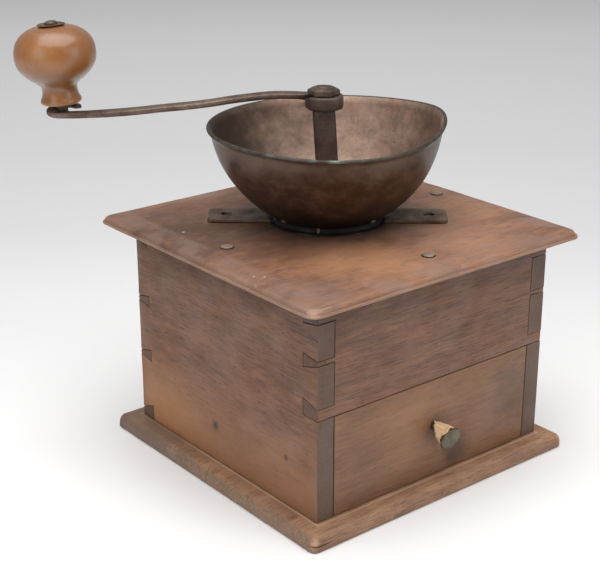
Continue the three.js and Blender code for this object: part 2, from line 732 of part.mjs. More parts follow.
function lowerBridge() {
  const half = LEG_SPREAD + BRIDGE_HALF_WIDTH;
  const across = [-BRIDGE_HALF_WIDTH, BRIDGE_HALF_WIDTH];
  let body = block([-half, half], across, [BRIDGE_LOW, BRIDGE_HIGH]);
  body = body.add(rod(BOSS_RADIUS, BOSS_LOW, BRIDGE_HIGH - 0.5, 20));
  body = body.subtract(rod(SCREW_RADIUS + GAP, BOSS_LOW - 1, BRIDGE_HIGH + 1));
  for (const distance of [-LEG_SPREAD, LEG_SPREAD]) {
    body = body.subtract(hole(distance, 0, LEG_NECK + GAP, BRIDGE_LOW - 1, BRIDGE_HIGH + 1));
  }
  place('lower_bridge', body, darkIron, strapLine);
}

function lockNut() {
  const nut = raised(ngon(6, 7), BOSS_LOW - GAP - NUT_THICKNESS, BOSS_LOW - GAP)
    .subtract(rod(SCREW_RADIUS + GAP, BOSS_LOW - 2 * NUT_THICKNESS, BOSS_LOW + 1));
  place('lock_nut', nut, darkIron, strapLine);
}

// ---------------------------------------------------------------- mill that turns or lifts

function adjustingScrew() {
  const body = rod(SCREW_RADIUS, SCREW_HEAD_HIGH - 1, SCREW_TIP)
    .add(raised(ngon(4, 6.2), SCREW_LOW, SCREW_HEAD_HIGH));
  place('adjusting_screw', body, steel, mill);
}

// A cup over the screw's tip that the shaft's pivot turns in.
function stepBearing() {
  const body = turned([
    [0, SCREW_TIP + GAP],
    [SCREW_RADIUS + GAP, SCREW_TIP + GAP],
    [SCREW_RADIUS + GAP, SCREW_TIP - 1.4],
    [STEP_RADIUS, SCREW_TIP - 1.4],
    [STEP_RADIUS, STEP_TOP],
    [PIVOT_RADIUS + 0.4, STEP_TOP],
    [2.2, PIVOT_LOW - GAP],
    [0, PIVOT_LOW - GAP],
  ], 14);
  place('step_bearing', body, steel, mill);
}

// Round in its two bearings, then square and bent over, with a square tenon and a round stub for the nut.
function millShaft() {
  const round = turned([
    [0, PIVOT_LOW],
    [1.9, PIVOT_LOW],
    [PIVOT_RADIUS, STEP_TOP],
    [PIVOT_RADIUS, STEP_TOP + 1.4],
    [JOURNAL_RADIUS, STEP_TOP + 2.6],
    [JOURNAL_RADIUS, STRAP_HIGH + 1.4],
    [0, STRAP_HIGH + 1.4],
  ], 20);
  const square = loft([
    squareRing(SHAFT_SQUARE, SHAFT_CHAMFER, 0, STRAP_HIGH + 1),
    squareRing(SHAFT_SQUARE, SHAFT_CHAMFER, 0, BEND_START),
    squareRing(SHAFT_SQUARE, SHAFT_CHAMFER, SHAFT_BEND, EYE_BOTTOM - GAP),
  ]);
  const tenon = raised(chamferedSquare(TENON_SQUARE, TENON_CHAMFER), EYE_BOTTOM - 1, EYE_TOP)
    .translate(SHAFT_BEND, 0, 0);
  const stub = turned([
    [0, EYE_TOP - 1],
    [STUB_RADIUS, EYE_TOP - 1],
    [STUB_RADIUS, CRANK_NUT_TOP],
    [STUB_RADIUS * 0.6, CRANK_NUT_TOP + 0.7],
    [0, CRANK_NUT_TOP + 0.9],
  ], 16).translate(SHAFT_BEND, 0, 0);
  const pinHole = rod(PIN_RADIUS + GAP, -20, 20, 12).rotate([90, 0, 0]).translate(0, 0, PIN_HEIGHT);
  const body = round.add(square).add(tenon).add(stub).subtract(pinHole);
  place('mill_shaft', body, wroughtIron, crank);
}

function innerBurr() {
  const rings = Array.from({ length: 5 }, (_, i) => {
    const part = i / 4;
    const height = INNER_BURR_LOW + (INNER_BURR_HIGH - INNER_BURR_LOW) * part;
    const depth = TOOTH_DEPTH * (1 + 3 * part);
    return toothedRing(INNER_BURR_RADIUS - 5.4 * part, depth, BURR_TEETH, 0.5 * part, height);
  });
  const pinHole = rod(PIN_RADIUS + GAP, -20, 20, 12).rotate([90, 0, 0]).translate(0, 0, PIN_HEIGHT);
  const body = loft(rings)
    .subtract(rod(JOURNAL_RADIUS + GAP, INNER_BURR_LOW - 1, INNER_BURR_HIGH + 1, 20))
    .subtract(pinHole);
  place('inner_burr', body, steel, crank);
}

function burrPin() {
  const half = INNER_BURR_RADIUS - 2;
  const body = rod(PIN_RADIUS, -half, half, 12).rotate([90, 0, 0]).translate(0, 0, PIN_HEIGHT);
  place('burr_pin', body, steel, crank);
}

// ---------------------------------------------------------------- crank

// The arm's centre height along its reach: level at the eye, an easy drop, nearly level to the knob.
const LOOP_LINE = LOOP_BOTTOM + ARM_THICKNESS / 2;
const armLine = new THREE.CatmullRomCurve3([
  [SHAFT_BEND, 203.9],
  [12, 204.2],
  [20, 204.7],
  [32, 204.8],
  [50, 203.1],
  [70, 200.5],
  [92, 198.7],
  [104, 197.6],
  [118, 196.7],
  [132, LOOP_LINE],
  [CRANK_REACH, LOOP_LINE],
].map(([x, z]) => {
  const y = ARM_OFFSET_AT_EYE + ((LOOP_LINE_RADIUS - ARM_OFFSET_AT_EYE) * x) / CRANK_REACH;
  return new THREE.Vector3(x, y, z);
}));

// A rectangle of points across a bar at a place on its centre line, across being its level direction.
function barRing(centre, across, width, thickness) {
  return [[1, -1], [1, 1], [-1, 1], [-1, -1]].map(([side, up]) => (
    new THREE.Vector3(
      centre.x + (across.x * side * width) / 2,
      centre.y + (across.y * side * width) / 2,
      centre.z + (up * thickness) / 2,
    )
  ));
}

// The arm and the loop that curls round the spindle, as one bar.
function crankArm() {
  const steps = 20;
  const taper = 24;
  const arm = Array.from({ length: steps }, (_, i) => {
    const point = armLine.getPointAt(i / steps);
    const share = Math.max(0, (point.x - CRANK_REACH + taper) / taper);
    const width = ARM_WIDTH + (LOOP_BAR_WIDTH - ARM_WIDTH) * share;
    return barRing(point, new THREE.Vector2(0, 1), width, ARM_THICKNESS);
  });
  const curl = Array.from({ length: steps + 1 }, (_, i) => {
    const share = i / steps;
    const angle = radians(90 - 250 * share);
    const across = new THREE.Vector2(Math.cos(angle), Math.sin(angle));
    const radius = LOOP_LINE_RADIUS + LOOP_TIP_OUT * Math.max(0, 2 * share - 1);
    const thickness = ARM_THICKNESS + (LOOP_TIP_THICKNESS - ARM_THICKNESS) * share;
    const centre = new THREE.Vector3(
      CRANK_REACH + radius * across.x,
      radius * across.y,
      LOOP_BOTTOM + thickness / 2 + LOOP_RISE * share,
    );
    return barRing(centre, across, LOOP_BAR_WIDTH, thickness);
  });
  const eye = rod(EYE_RADIUS, EYE_BOTTOM, EYE_TOP, 24).translate(SHAFT_BEND, 0, 0);
  const tenonHole = raised(
    chamferedSquare(TENON_SQUARE + 2 * GAP, TENON_CHAMFER),
    EYE_BOTTOM - 1,
    EYE_TOP + 1,
  ).translate(SHAFT_BEND, 0, 0);
  const spindleHole = rod(SPINDLE_RADIUS + GAP, -20, 20)
    .rotate([0, KNOB_LEAN, 0])
    .translate(CRANK_REACH, 0, KNOB_PIVOT);
  const body = loft([...arm, ...curl]).add(eye).subtract(tenonHole).subtract(spindleHole);
  place('crank_arm', body, wroughtIron, crank);
}

// A hand filed nut with its upper corners cut away.
function crankNut() {
  const low = EYE_TOP + GAP;
  const ring = (radius, height) => Array.from({ length: 6 }, (_, i) => {
    const angle = radians(60 * i + CRANK_NUT_TURN);
    return new THREE.Vector3(radius * Math.cos(angle), radius * Math.sin(angle), height);
  });
  const flats = low + 2.6;
  const body = loft([
    ring(CRANK_NUT_RADIUS, low),
    ring(CRANK_NUT_RADIUS, flats),
    ring(CRANK_NUT_RADIUS * 0.76, CRANK_NUT_TOP),
  ]).subtract(rod(STUB_RADIUS + GAP, low - 1, CRANK_NUT_TOP + 1));
  place('crank_nut', body.translate(SHAFT_BEND, 0, 0), darkIron, crank);
}

function knobSpindle() {
  const neck = KNOB_TOP + GAP + ROVE_THICKNESS + GAP;
  const body = turned([
    [0, LOOP_BOTTOM + 0.6],
    [SPINDLE_RADIUS, LOOP_BOTTOM + 0.6],
    [SPINDLE_RADIUS, neck],
    [3.5, neck + 0.2],
    [2.6, neck + 1],
    [0, neck + 1.3],
  ], 16);
  place('knob_spindle', body, wroughtIron, spindleLine);
}

// A flattened ball on a waisted foot with a rounded rim.
function crankKnob() {
  const foot = [[9.2, 0], [10.9, 0.9], [11.1, 1.8], [10.3, 3.8]];
  const neck = [[9.7, 6], [9.6, 8.2], [10.4, 10.4]];
  const lower = [[12.5, 12.5], [15.5, 14.7], [18, 16.9], [19.8, 19.1], [21.6, 22.8]];
  const equator = [[22.1, 27]];
  const upper = [[21.8, 30], [21.3, 32.2], [20.3, 34.4], [18.8, 36.6], [16.4, 38.8], [12.4, 40.7], [9, 41.8]];
  const outline = [...foot, ...neck, ...lower, ...equator, ...upper];
  const bore = SPINDLE_RADIUS + GAP;
  const body = turned([
    [bore, KNOB_BOTTOM],
    ...outline.map(([radius, rise]) => [radius, KNOB_BOTTOM + rise]),
    [bore, KNOB_TOP],
    [bore, KNOB_BOTTOM],
  ], 24);
  place('crank_knob', body, knobWood, spindleLine);
}

function knobRove() {
  const low = KNOB_TOP + GAP;
  const body = raised(ngon(8, ROVE_RADIUS, 0.2), low, low + ROVE_THICKNESS)
    .subtract(rod(SPINDLE_RADIUS + GAP, low - 1, low + 2));
  place('knob_rove', body, wroughtIron, spindleLine);
}

// ---------------------------------------------------------------- drawer

// The brads' places along the drawer: into the front's shoulders and into the back's ends.
const BRADS = [FRONT + DRAWER_LAP + 2.9, DRAWER_BACK - DRAWER_WALL / 2].flatMap((y) => (
  BRAD_HEIGHTS.map((z) => [y, z])
));

// Brads driven in from the sides, for a cut through whatever they enter.
function bradHoles(body) {
  let cut = body;
  for (const side of [-1, 1]) {
    for (const [y, z] of BRADS) {
      const bradHole = rod(BRAD_RADIUS + GAP, -BRAD_LENGTH - 1, 2, 10)
        .rotate([0, 90 * side, 0])
        .translate(side * (WALL_OUT - 0.4), y, z);
      cut = cut.subtract(bradHole);
    }
  }
  return cut;
}

function drawerFront() {
  let body = block([-DRAWER_HALF, DRAWER_HALF], [FRONT, FRONT + DRAWER_LAP], [DRAWER_BOTTOM, DRAWER_TOP]);
  const inner = [-WALL_IN + GAP, WALL_IN - GAP];
  body = body.add(block(inner, [FRONT + DRAWER_LAP - 1, DRAWER_FRONT_IN], [DRAWER_BOTTOM, DRAWER_TOP]));
  const groove = block(
    [-WALL_IN - 1, WALL_IN + 1],
    [DRAWER_FRONT_IN - DRAWER_GROOVE - GAP, DRAWER_FRONT_IN + 1],
    [DRAWER_PANEL[0] - GAP, DRAWER_PANEL[1] + GAP],
  );
  body = body.subtract(groove).subtract(drawerKnobAxis(rod(DRAWER_KNOB_SHANK + GAP, -30, 30)));
  place('drawer_front', bradHoles(body), caseWood, drawer);
}

function drawerSide(side) {
  const x = side > 0 ? [WALL_IN, WALL_OUT] : [-WALL_OUT, -WALL_IN];
  const y = [FRONT + DRAWER_LAP + GAP, DRAWER_BACK];
  const deep = WALL_IN + DRAWER_GROOVE + GAP;
  const grooveX = side > 0 ? [WALL_IN - 1, deep] : [-deep, -WALL_IN + 1];
  const body = block(x, y, [DRAWER_BOTTOM, DRAWER_WALL_TOP])
    .subtract(block(grooveX, [y[0] - 1, y[1] + 1], [DRAWER_PANEL[0] - GAP, DRAWER_PANEL[1] + GAP]));
  place(side > 0 ? 'drawer_side_right' : 'drawer_side_left', bradHoles(body), drawerWood, drawer);
}

function drawerBack() {
  const inner = [-WALL_IN + GAP, WALL_IN - GAP];
  const z = [DRAWER_PANEL[1] + GAP, DRAWER_WALL_TOP - 2];
  const body = block(inner, [DRAWER_BACK - DRAWER_WALL, DRAWER_BACK], z);
  place('drawer_back', bradHoles(body), drawerWood, drawer);
}

function drawerBottom() {
  const half = WALL_IN + DRAWER_GROOVE;
  const body = block([-half, half], [DRAWER_FRONT_IN - DRAWER_GROOVE, DRAWER_BACK], DRAWER_PANEL);
  place('drawer_bottom', body, drawerWood, drawer);
}

function drawerBrads() {
  let number = 1;
  for (const side of [-1, 1]) {
    for (const [y, z] of BRADS) {
      const body = nail(BRAD_LENGTH, BRAD_RADIUS, BRAD_RADIUS + 0.1, 0.3);
      const mesh = place(`drawer_brad_${number}`, body, wroughtIron, drawer);
      mesh.rotation.y = (side * Math.PI) / 2;
      mesh.position.set(side * (WALL_OUT - 0.4), y, z);
      number += 1;
    }
  }
}

// Turns a body about Z into the drawer knob's place, with +Z pointing out of the drawer and a little down.
function drawerKnobAxis(body) {
  return body.rotate([90 + DRAWER_KNOB_DROOP, 0, 0]).translate(0, FRONT, DRAWER_KNOB_Z);
}

function drawerKnob() {
  const shankEnd = -DRAWER_FRONT_THICKNESS - 7.4;
  const body = turned([
    [0, shankEnd],
    [DRAWER_KNOB_SHANK, shankEnd],
    [DRAWER_KNOB_SHANK, DRAWER_KNOB_OUT - 4.4],
    [4.6, DRAWER_KNOB_OUT - 3.4],
    [DRAWER_KNOB_RADIUS - 0.2, DRAWER_KNOB_OUT - 2.2],
    [DRAWER_KNOB_RADIUS, DRAWER_KNOB_OUT - 1.2],
    [DRAWER_KNOB_RADIUS - 1.5, DRAWER_KNOB_OUT],
    [2.8, DRAWER_KNOB_OUT + 0.8],
    [0, DRAWER_KNOB_OUT + 1],
  ], 16);
  place('drawer_knob', drawerKnobAxis(body), brass, drawer);
}

function knobPacking() {
  const bore = DRAWER_KNOB_SHANK + GAP;
  const body = turned([
    [bore, 1.4],
    [3.2, 1.4],
    [4.2, 5],
    [5.6, DRAWER_KNOB_OUT - 4.2],
    [bore, DRAWER_KNOB_OUT - 4.8],
    [bore, 1.4],
  ], 12);
  place('knob_packing', drawerKnobAxis(body), packing, drawer);
}

function drawerKnobNut() {
  const near = -DRAWER_FRONT_THICKNESS - 6;
  const far = -DRAWER_FRONT_THICKNESS - 2.8;
  const body = raised(ngon(4, 6), near, far).subtract(rod(DRAWER_KNOB_SHANK + GAP, near - 1, far + 1));
  place('drawer_knob_nut', drawerKnobAxis(body), wroughtIron, drawer);
}

// ---------------------------------------------------------------- build

const drawer = new THREE.Group();
grinder.add(drawer);

baseBoards();
sideBoard(-1);
sideBoard(1);
frontRail();
backBoard();
topBoard();
topNails();
baseNails();

mountingStrap();
strapNails();
footRing();
hopperBowl();
bowlRivets();
outerBurr();
hangerLegs();
lowerBridge();
lockNut();

adjustingScrew();
stepBearing();
millShaft();
innerBurr();
burrPin();

crankArm();
crankNut();
knobSpindle();
crankKnob();
knobRove();

drawerFront();
drawerSide(-1);
drawerSide(1);
drawerBack();
drawerBottom();
drawerBrads();
drawerKnob();
knobPacking();
drawerKnobNut();

export default grinder;
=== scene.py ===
"""Looks of the hand crank coffee grinder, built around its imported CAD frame.

Lengths are in millimetres until a mesh is made. The row frame has +Z up and the drawer front facing -Y.
"""

import math

import bmesh
import bpy
from mathutils import Matrix, Vector, noise


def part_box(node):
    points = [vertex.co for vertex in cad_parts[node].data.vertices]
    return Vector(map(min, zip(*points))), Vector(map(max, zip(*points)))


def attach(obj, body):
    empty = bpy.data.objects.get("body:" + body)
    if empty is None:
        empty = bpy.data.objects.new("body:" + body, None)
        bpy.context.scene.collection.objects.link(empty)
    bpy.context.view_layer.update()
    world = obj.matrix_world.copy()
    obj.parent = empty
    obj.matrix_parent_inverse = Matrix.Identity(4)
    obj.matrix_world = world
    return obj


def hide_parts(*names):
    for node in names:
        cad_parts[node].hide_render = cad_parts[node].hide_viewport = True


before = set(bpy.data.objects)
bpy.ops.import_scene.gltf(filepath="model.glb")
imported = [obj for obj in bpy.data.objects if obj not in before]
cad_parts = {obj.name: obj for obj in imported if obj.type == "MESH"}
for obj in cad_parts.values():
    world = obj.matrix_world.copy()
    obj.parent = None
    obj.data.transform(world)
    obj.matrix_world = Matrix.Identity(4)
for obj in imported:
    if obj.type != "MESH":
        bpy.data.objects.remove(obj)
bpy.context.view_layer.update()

MM = 0.001  # metres in a millimetre
GAP = 0.3  # air that the CAD leaves between pieces that touch


# ---------------------------------------------------------------- places taken from the frame

def corners(node):
    """Lowest and highest corner of a CAD node, in millimetres."""
    low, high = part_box(node)
    return low / MM, high / MM


def middle(node):
    low, high = corners(node)
    return (low + high) / 2


TOP_LOW, TOP_HIGH = corners("top_board")
TOP_CENTRE = middle("top_board")
BASE_LOW = corners("base_board_front")[0]
BASE_HIGH = corners("base_board_rear")[1]
BASE_JOINT_Y = (corners("base_board_front")[1].y + corners("base_board_rear")[0].y) / 2
CASE_LOW = corners("case_side_left")[0]
CASE_HIGH = corners("case_side_right")[1]
STRAP_LOW = corners("mounting_strap")[0].z
STRAP_HIGH = corners("mounting_strap")[1].z
MILL = middle("step_bearing")
CRANK_TURN = math.radians(141)
DRAWER_LOW = corners("drawer_front")[0]
STRAP_TURN = math.radians(-39.6)

# ---------------------------------------------------------------- shapes that the frame's boxes don't give

THROAT_RADIUS = 19
EDGE_ROUND = 5
BOWL_RADIUS = 65.4
BOWL_CENTRE = 197.5
BOWL_RIM = 189.6
BOWL_WALL = 1.3
BEAD_RADIUS = 1.05
BEAD_OUT = 65.55
RING_RADIUS = 32
RIVET_RADIUS = 34.5
RIVET_AZIMUTHS = (187, 275, 51)
FLANGE_RADIUS = 34.3
NAIL_HEAD = 3.5
STRAP_NAIL_HEAD = 2.55
STRAP_LENGTH = 134
STRAP_CORNER = 4
STRAP_CENTRE_HOLE = 5.75
STRAP_WIDTH = 21
STRAP_NAILS = (-56.5, 56.5)
STRAP_HOLE = 3.2
SHAFT_HALF = 6.2
BEND_START = 160
SHAFT_BEND = 2.5
EYE_LOW, EYE_HIGH = 198.6, 206
EYE_RADIUS = 8.4
EYE_HALF_WIDTH = 2.4
JOURNAL_RADIUS = 5.4
PIVOT_RADIUS = 3.2
TENON_HALF = 4
REACH = 144.7
LOOP_LOW = 194.4
LOOP_RADIUS = 6.1
LOOP_HALF_WIDTH = 2.7
ARM_HALF_HEIGHT = 1.8
ARM_HALF_WIDTH = 4.1
BAR_SQUARENESS = 3.2
EYE_SQUARENESS = 5
KNOB_LEAN = math.radians(4.1)
KNOB_PIVOT = 197.6
KNOB_LOW, KNOB_HIGH = 201.3, 243.4
SPINDLE_HIGH = 246.2
DRAWER_KNOB_Z = 39
DRAWER_KNOB_DROOP = 16
DRAWER_KNOB_OUT = 14.6


def about_mill(turn):
    """A function that takes a point from a frame turned about the mill's axis to the row frame."""
    c, s = math.cos(turn), math.sin(turn)
    return lambda x, y, z: Vector((MILL.x + c * x - s * y, MILL.y + s * x + c * y, z))


crank_point = about_mill(CRANK_TURN)  # X runs along the arm, from the shaft to the knob
strap_point = about_mill(STRAP_TURN)  # X runs along the strap
mill_point = about_mill(0)


def spindle_point(x, y, z):
    """A point on the leaning spindle, with heights as they would be if it stood upright."""
    c, s = math.cos(KNOB_LEAN), math.sin(KNOB_LEAN)
    rise = z - KNOB_PIVOT
    return crank_point(REACH + c * x + s * rise, y, KNOB_PIVOT - s * x + c * rise)


def bent_point(x, y, z):
    """A point of the crank's frame, carried over with the bent end of the shaft."""
    share = max(0, (z - BEND_START) / (EYE_LOW - BEND_START))
    return crank_point(x + SHAFT_BEND * min(share, 1), y, z)


DROOP = Matrix.Rotation(math.radians(90 + DRAWER_KNOB_DROOP), 3, "X")


def drawer_knob_point(x, y, z):
    """A point of the drawer knob's own frame, with Z along its shank, out of the drawer."""
    return DROOP @ Vector((x, y, z)) + Vector((0, CASE_LOW.y, DRAWER_KNOB_Z))


# ---------------------------------------------------------------- mesh helpers

def wobble(point, size, seed=0):
    """Smooth noise from -1 to 1 at a point, with features of about that size."""
    return noise.noise(Vector(point) / size + Vector((seed * 17.3, seed * 5.1, seed * 9.7)))


def fade(value, start, end):
    """0 before start and 1 after end, easing between them."""
    t = min(max((value - start) / (end - start), 0), 1)
    return t * t * (3 - 2 * t)


def blend_between(a, b, t):
    return a + (b - a) * t


def skin(rings, loop=False, caps=True):
    """Points and faces over rings of equal counts. loop joins the last ring to the first."""
    count = len(rings[0])
    points = [Vector(point) for ring in rings for point in ring]
    faces = []
    for r in range(len(rings) if loop else len(rings) - 1):
        here, there = r * count, (r + 1) % len(rings) * count
        for i in range(count):
            j = (i + 1) % count
            faces.append((here + i, here + j, there + j, there + i))
    if caps and not loop:
        faces.append(tuple(reversed(range(count))))
        faces.append(tuple(range(len(points) - count, len(points))))
    return points, faces


def joined(*parts):
    """Several (points, faces) as one."""
    points, faces = [], []
    for more_points, more_faces in parts:
        faces += [tuple(len(points) + i for i in face) for face in more_faces]
        points += more_points
    return points, faces


def circle(radius, height, count):
    angles = [2 * math.pi * i / count for i in range(count)]
    return [Vector((radius * math.cos(a), radius * math.sin(a), height)) for a in angles]


def arc(x, y, radius, start, end, steps):
    """Points round part of a circle about (x, y), between two angles in degrees."""
    angles = [math.radians(blend_between(start, end, i / steps)) for i in range(steps + 1)]
    return [(x + radius * math.cos(a), y + radius * math.sin(a)) for a in angles]


def turned(profile, count=64, loop=False):
    """A body of revolution about Z from (radius, height) points."""
    return skin([circle(max(radius, 1e-4), height, count) for radius, height in profile], loop)


def curve_through(points, steps):
    """A smooth line through points, with that many steps between each two."""
    padded = [points[0], *points, points[-1]]
    line = []
    for i in range(1, len(padded) - 2):
        a, b, c, d = (Vector(p) for p in padded[i - 1:i + 3])
        for k in range(steps):
            t = k / steps
            line.append(
                0.5 * (2 * b + (c - a) * t + (2 * a - 5 * b + 4 * c - d) * t ** 2
                       + (3 * b - a - 3 * c + d) * t ** 3))
    line.append(Vector(points[-1]))
    return line


def moved(part, place):
    """(points, faces) with each point put through place(x, y, z)."""
    points, faces = part
    return [place(*point) for point in points], faces


def piece(name, part, material, body, nodes=(), sharp=35):
    """A Blender piece from (points, faces) in millimetres, riding on a body and standing for CAD nodes."""
    points, faces = part
    mesh = bpy.data.meshes.new(name)
    mesh.from_pydata([point * MM for point in points], [], faces)
    shape = bmesh.new()
    shape.from_mesh(mesh)
    bmesh.ops.remove_doubles(shape, verts=shape.verts, dist=0.01 * MM)
    bmesh.ops.recalc_face_normals(shape, faces=shape.faces)
    shape.to_mesh(mesh)
    shape.free()
    return finished(name, mesh, material, body, nodes, sharp)


def finished(name, mesh, material, body, nodes, sharp):
    mesh.polygons.foreach_set("use_smooth", [True] * len(mesh.polygons))
    mesh.set_sharp_from_angle(angle=math.radians(sharp))
    mesh.materials.append(material)
    obj = bpy.data.objects.new(name, mesh)
    bpy.context.scene.collection.objects.link(obj)
    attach(obj, body)
    if nodes:
        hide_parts(*nodes)
    return obj


def worn_copy(node, name, material, body, width=0.5, step=7, seed=1):
    """A copy of a CAD node whose long sharp edges are rubbed round by an uneven amount."""
    shape = bmesh.new()
    shape.from_mesh(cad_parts[node].data)
    bmesh.ops.remove_doubles(shape, verts=shape.verts, dist=0.01 * MM)
    bmesh.ops.dissolve_limit(
        shape, angle_limit=math.radians(1), verts=shape.verts, edges=shape.edges)
    bmesh.ops.triangulate(shape, faces=shape.faces, ngon_method="BEAUTY")

    def sharp_edges(shortest):
        return [
            edge for edge in shape.edges
            if len(edge.link_faces) == 2 and edge.calc_length() > shortest * MM
            and edge.calc_face_angle() > math.radians(40)
        ]

    long_edges = sharp_edges(1.5)
    for edge in long_edges:
        edge.tag = True
    by_cuts = {}
    for edge in long_edges:
        cuts = int(edge.calc_length() / (step * MM))
        if cuts:
            by_cuts.setdefault(cuts, []).append(edge)
    for cuts, edges in sorted(by_cuts.items()):
        bmesh.ops.subdivide_edges(shape, edges=edges, cuts=cuts)
    weights = shape.edges.layers.float.new("bevel_weight_edge")
    for edge in sharp_edges(0.9):
        centre = (edge.verts[0].co + edge.verts[1].co) / 2 / MM
        rubbed = 0.62 + 0.38 * wobble(centre, 9, seed) + 0.25 * wobble(centre, 3, seed + 1)
        edge[weights] = min(max(rubbed, 0.25), 1)
    mesh = bpy.data.meshes.new(name)
    shape.to_mesh(mesh)
    shape.free()
    obj = finished(name, mesh, material, body, (node,), 30)
    bevel = obj.modifiers.new("worn edges", "BEVEL")
    bevel.limit_method = "WEIGHT"
    bevel.width = width * MM
    bevel.segments = 2
    bevel.use_clamp_overlap = True
    bevel.harden_normals = True
    return obj


# ---------------------------------------------------------------- material helpers

def rgb(code):
    """A colour as Blender keeps it, from a hexadecimal one."""
    parts = [int(code[i:i + 2], 16) / 255 for i in (0, 2, 4)]
    linear = [p / 12.92 if p <= 0.04045 else ((p + 0.055) / 1.055) ** 2.4 for p in parts]
    return (*linear, 1)


class Paint:
    """A material's node tree, built a node at a time. Lengths are in millimetres."""

    def __init__(self, name, **shader):
        self.colour = None  # each material sets it, then stains it
        self.material = bpy.data.materials.new(name)
        self.material.use_nodes = True
        self.tree = self.material.node_tree
        self.shader = self.tree.nodes["Principled BSDF"]
        coordinates = self.tree.nodes.new("ShaderNodeTexCoord")
        self.normal = coordinates.outputs["Normal"]
        self.place = self.node("VectorMath", "SCALE", Vector=coordinates.outputs["Object"], Scale=1 / MM)
        for socket, value in shader.items():
            self.shader.inputs[socket.replace("_", " ")].default_value = value

    def node(self, kind, operation=None, output=0, **inputs):
        made = self.tree.nodes.new("ShaderNode" + kind)
        if operation:
            made.operation = operation
        for key, value in inputs.items():
            self.feed(made.inputs[int(key[1:]) if key[0] == "_" else key], value)
        return made.outputs[output]

    def feed(self, socket, value):
        if isinstance(value, bpy.types.NodeSocket):
            self.tree.links.new(value, socket)
        else:
            socket.default_value = value

    def stretch(self, x, y, z, shift=0.0):
        """Places divided by a feature size along each axis."""
        return self.node("Mapping", Vector=self.place, Scale=(1 / x, 1 / y, 1 / z), Location=(shift,) * 3)

    def noise(self, x, y, z, detail=2.0, roughness=0.5, distortion=0.0, shift=0.0):
        """Noise from 0 to 1 with features of that size along each axis."""
        vector = self.stretch(x, y, z, shift)
        return self.node("TexNoise", Vector=vector, Scale=1.0, Detail=detail, Roughness=roughness,
                         Distortion=distortion)

    def specks(self, size, shift=0.0):
        """Distance to the nearest of scattered points, in units of their spacing."""
        vector = self.stretch(size, size, size, shift)
        return self.node("TexVoronoi", Vector=vector, Scale=1.0)

    def band(self, value, start, end, low=0.0, high=1.0):
        """low where value is before start, high where it is past end."""
        made = self.tree.nodes.new("ShaderNodeMapRange")
        made.interpolation_type = "SMOOTHSTEP"
        settings = {"From Min": start, "From Max": end, "To Min": low, "To Max": high}
        if start > end:
            settings = {"From Min": end, "From Max": start, "To Min": high, "To Max": low}
        self.feed(made.inputs["Value"], value)
        for key, number in settings.items():
            made.inputs[key].default_value = number
        return made.outputs["Result"]

    def maths(self, operation, a, b=0.0):
        return self.node("Math", operation, _0=a, _1=b)

    def sum(self, a, b):
        return self.maths("ADD", a, b)

    def less(self, a, b):
        return self.maths("SUBTRACT", a, b)

    def size(self, a):
        """A value without its sign."""
        return self.maths("ABSOLUTE", a)

    def both(self, *masks):
        """The product of masks and of how strong they are."""
        result = masks[0]
        for mask in masks[1:]:
            result = self.maths("MULTIPLY", result, mask)
        return result

    def ramp(self, value, *stops):
        """Colours as hexadecimal codes at places from 0 to 1."""
        made = self.tree.nodes.new("ShaderNodeValToRGB")
        elements = made.color_ramp.elements
        while len(elements) < len(stops):
            elements.new(0.5)
        for element, (position, code) in zip(elements, stops):
            element.position = position
            element.color = rgb(code)
        self.feed(made.inputs["Fac"], value)
        return made.outputs["Color"]

    def mix(self, amount, under, over, blend="MIX"):
        """over laid on under where amount is 1. A colour may be a hexadecimal code."""
        made = self.tree.nodes.new("ShaderNodeMix")
        made.data_type = "RGBA"
        made.blend_type = blend
        self.feed(made.inputs["Factor"], amount)
        for socket, colour in zip(("A", "B"), (under, over)):
            target = next(s for s in made.inputs if s.name == socket and s.type == "RGBA")
            self.feed(target, rgb(colour) if isinstance(colour, str) else colour)
        return next(s for s in made.outputs if s.type == "RGBA")

    def stain(self, mask, code, amount=1, blend="MIX"):
        """Colours the surface where mask is 1, as strongly as amount says."""
        if amount != 1:
            mask = self.both(mask, amount)
        self.colour = self.mix(mask, self.colour, code, blend)

    def axis(self, name, vector=None):
        made = self.tree.nodes.new("ShaderNodeSeparateXYZ")
        self.feed(made.inputs[0], vector or self.place)
        return made.outputs[name]

    def near(self, x, y, z, inner, outer, ragged=0.25, size=8.0):
        """1 within inner of a point, 0 beyond outer, with a ragged edge."""
        away = self.node("VectorMath", "DISTANCE", 1, _0=self.place, _1=(x, y, z))
        rough = self.noise(size, size, size, 3, 0.6)
        shift = self.both(self.less(rough, 0.5), 2 * ragged * outer)
        return self.band(self.sum(away, shift), outer, inner)

    def done(self, roughness, height=None, strength=0.3, depth=0.4):
        """Feeds the shader and returns the material. depth is the height's full range."""
        self.feed(self.shader.inputs["Base Color"], self.colour)
        self.feed(self.shader.inputs["Roughness"], roughness)
        if height is not None:
            bump = self.node("Bump", Height=height, Strength=strength, Distance=depth * MM)
            self.feed(self.shader.inputs["Normal"], bump)
        return self.material


def along(axis, length, width):
    """Feature sizes of a grain that runs along an axis."""
    return tuple(length if name == axis else width for name in "XYZ")


